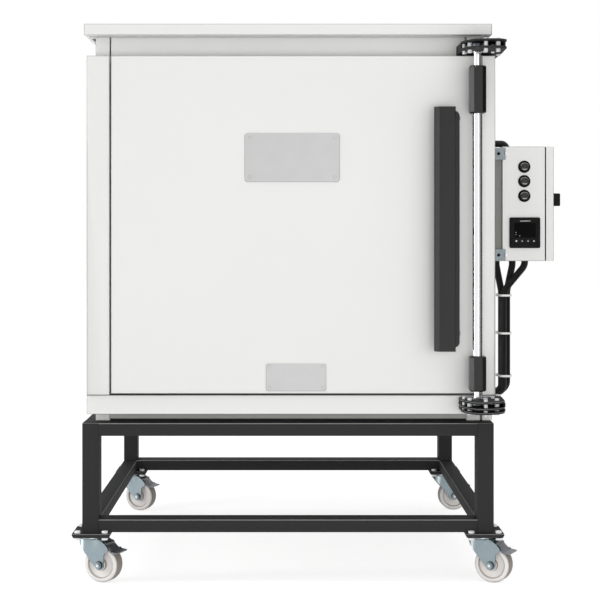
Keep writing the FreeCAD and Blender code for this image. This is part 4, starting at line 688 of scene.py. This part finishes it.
# The channel's dark grey is painted shade between the brackets.
channel_painted_shade = finish("channel_painted_shade", (0.20, 0.20, 0.185), (0.24, 0.24, 0.225), 0.45, 0.1, broad=5.0)
dressed("control_channel", channel_painted_shade, 0.0006)
black = finish("black_plastic", (0.006, 0.006, 0.0065), (0.010, 0.010, 0.011), 0.32, 0.10,
               broad=60.0, fine=900.0, relief=0.00001, specular=0.08)
dressed("control_lock", black, 0.0006)
bracket_zinc = finish("bracket_zinc", (0.30, 0.335, 0.355), (0.20, 0.235, 0.255), 0.38, 0.16, metallic=0.8,
                      broad=90.0, fine=420.0, mottle=0.9)
dressed("control_brackets", bracket_zinc, 0.0006)
component_grey = finish("component_grey", (0.42, 0.43, 0.43), (0.34, 0.35, 0.35), 0.45, 0.1, broad=60.0)
component_beige = finish("component_beige", (0.66, 0.62, 0.52), (0.58, 0.54, 0.45), 0.45, 0.1, broad=60.0)


def islands(grown):
    """The separate bodies of a mesh, each as a list of its faces."""
    found = set()
    for face in grown.faces:
        if face not in found:
            found.add(face)
            island = [face]
            for member in island:
                for edge in member.edges:
                    for other in edge.link_faces:
                        if other not in found:
                            found.add(other)
                            island.append(other)
            yield island


plate_thickest = 0.004
contactor_least = 0.07
relay_least = 0.05
insides = dressed("control_insides", zinc, 0.0006)
for paint in (component_grey, component_beige, black):
    insides.data.materials.append(paint)
inner = bmesh.new()
inner.from_mesh(insides.data)
for island in islands(inner):
    spots = [vert.co for face in island for vert in face.verts]
    thick, tall = (max(spot[axis] for spot in spots) - min(spot[axis] for spot in spots)
                   for axis in (0, 2))
    if thick < plate_thickest:
        index = 0
    elif tall > contactor_least:
        index = 2
    elif tall > relay_least:
        index = 3
    else:
        index = 1
    for face in island:
        face.material_index = index
inner.to_mesh(insides.data)
inner.free()

bracket_low, bracket_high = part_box("control_brackets")
case_low, case_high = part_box("control_case")
head_radius = 0.0042
head_height = 0.0024
bolt_inset = 0.014
bolts = bmesh.new()
for shelf in (bracket_high.z - bolt_inset, bracket_low.z + bolt_inset):
    for bolt_x, sides in ((case_low.x + 0.007, 6), (case_low.x - 0.010, 24)):
        spot = Matrix.Translation((bolt_x, bracket_low.y + head_height / 2, shelf))
        bmesh.ops.create_cone(bolts, cap_ends=True, segments=sides, radius1=head_radius,
                              radius2=head_radius * 0.86, depth=head_height,
                              matrix=spot @ Matrix.Rotation(math.radians(90), 4, "X"))
own_piece("bracket_bolts", bolts, bright_zinc, body_of("control_brackets"))


# Three push buttons: a moulded glossy black ring on the case and a dished dark grey cap in it,
# which is pressed. The cap's section is given from its middle outwards.
gloss_black = finish("gloss_black", (0.006, 0.006, 0.006), (0.009, 0.009, 0.009), 0.12, 0.06,
                     broad=60.0, fine=900.0, relief=0.000005, specular=0.08)
dressed("button_bezels", gloss_black, 0.0012)
# The lighter grey given for the cap's faces that lean upwards is a painted highlight.
cap_grey = finish("cap_grey", (0.036, 0.036, 0.036), (0.046, 0.046, 0.046), 0.34, 0.1,
                  broad=80.0, fine=900.0, relief=0.00001, specular=0.2, painted_highlight=(0.55, 0.55, 0.55))
for number in (1, 2, 3):
    node = "push_button_%d" % number
    low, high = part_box(node)
    axis_x = (low.x + high.x) / 2
    axis_z = (low.z + high.z) / 2
    radius = (high.x - low.x) / 2
    cap = bmesh.new()
    outline = ((0, 0.0016), (radius * 0.55, 0.0012), (radius * 0.72, 0.0004), (radius * 0.80, 0),
               (radius * 0.93, 0.0004), (radius, 0.0016), (radius, high.y - low.y), (0, high.y - low.y))
    verts = [cap.verts.new((axis_x + reach, low.y + depth, axis_z)) for reach, depth in outline]
    line = [cap.edges.new(pair) for pair in zip(verts, verts[1:])]
    bmesh.ops.spin(cap, geom=verts + line, cent=(axis_x, 0, axis_z), axis=(0, 1, 0),
                   angle=math.radians(360), steps=40, use_merge=True)
    bmesh.ops.remove_doubles(cap, verts=cap.verts, dist=0.00001)
    bmesh.ops.recalc_face_normals(cap, faces=cap.faces)
    piece = own_piece(node + "_cap", cap, cap_grey, body_of(node), 40)
    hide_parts(node)


# The temperature controller: a square black moulded housing that is clipped into the case, with a
# dark window, four small keys with plain symbols, three status marks and a plain bar.
dressed("controller", black, 0.0008)
panel_low, panel_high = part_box("controller")
panel_x = (panel_low.x + panel_high.x) / 2
panel_z = (panel_low.z + panel_high.z) / 2
panel_y = panel_low.y
first_key = -0.0205
key_step = 0.0137
key_level = -0.0195
ink = finish("light_ink", (0.88, 0.88, 0.87), (0.80, 0.80, 0.79), 0.5, 0.1, broad=200.0)
key_black = finish("key_black", (0.012, 0.012, 0.012), (0.018, 0.018, 0.018), 0.4, 0.1, broad=80.0,
                   specular=0.1)
window_glass = finish("window_glass", (0.001, 0.001, 0.0012), (0.002, 0.002, 0.0022), 0.10, 0.04,
                      broad=40.0, relief=0.000001, specular=0.05)


def slab(grown, x, z, width, height, front, back):
    """A thin block on the controller's face, given from the middle of that face."""
    made = bmesh.ops.create_cube(grown, size=1.0)["verts"]
    bmesh.ops.scale(grown, vec=(width, back - front, height), verts=made)
    bmesh.ops.translate(grown, vec=(panel_x + x, panel_y + (front + back) / 2, panel_z + z), verts=made)


window = bmesh.new()
slab(window, 0, 0.006, 0.050, 0.034, 0.0002, 0.004)
own_piece("controller_window", window, window_glass, body_of("controller"))
keys = bmesh.new()
for key in range(4):
    slab(keys, first_key + key * key_step, key_level, 0.0095, 0.0075, 0.0002, 0.003)
own_piece("controller_keys", keys, key_black, body_of("controller"))
signs = bmesh.new()
for key, corners, turned in ((0, 16, 0), (1, 3, 180), (2, 3, 0), (3, 4, 45)):
    spot = Matrix.Translation((panel_x + first_key + key * key_step, panel_y + 0.0001, panel_z + key_level))
    bmesh.ops.create_cone(signs, cap_ends=True, segments=corners, radius1=0.0019, radius2=0.0019,
                          depth=0.0003, matrix=spot @ Matrix.Rotation(math.radians(turned), 4, "Y")
                          @ Matrix.Rotation(math.radians(90), 4, "X"))
for x, z, width, height in ((-0.0215, 0.001, 0.0022, 0.0006), (-0.0215, -0.0045, 0.0022, 0.0006),
                            (-0.0125, -0.0075, 0.0030, 0.0006), (0.0, 0.0275, 0.024, 0.0009)):
    slab(signs, x, z, width, height, 0.0, 0.0004)
own_piece("controller_signs", signs, ink, body_of("controller"))


# The conduits: black corrugated plastic hoses with small ribs, pushed into locknuts on the case
# and the body, and three white nylon ties pulled round the bundle.
hose_black = finish("conduit_black", (0.010, 0.010, 0.011), (0.018, 0.018, 0.019), 0.30, 0.12,
                    broad=80.0, fine=700.0)
ridges(hose_black, 290.0, (1, 0, 1), 0.0016)
dressed("conduits", hose_black, 0)
painted(black, "conduit_glands")
tie_nylon = finish("tie_nylon", (0.84, 0.84, 0.82), (0.76, 0.76, 0.74), 0.35, 0.1, broad=90.0)
dressed("cable_ties", tie_nylon, 0.0004)
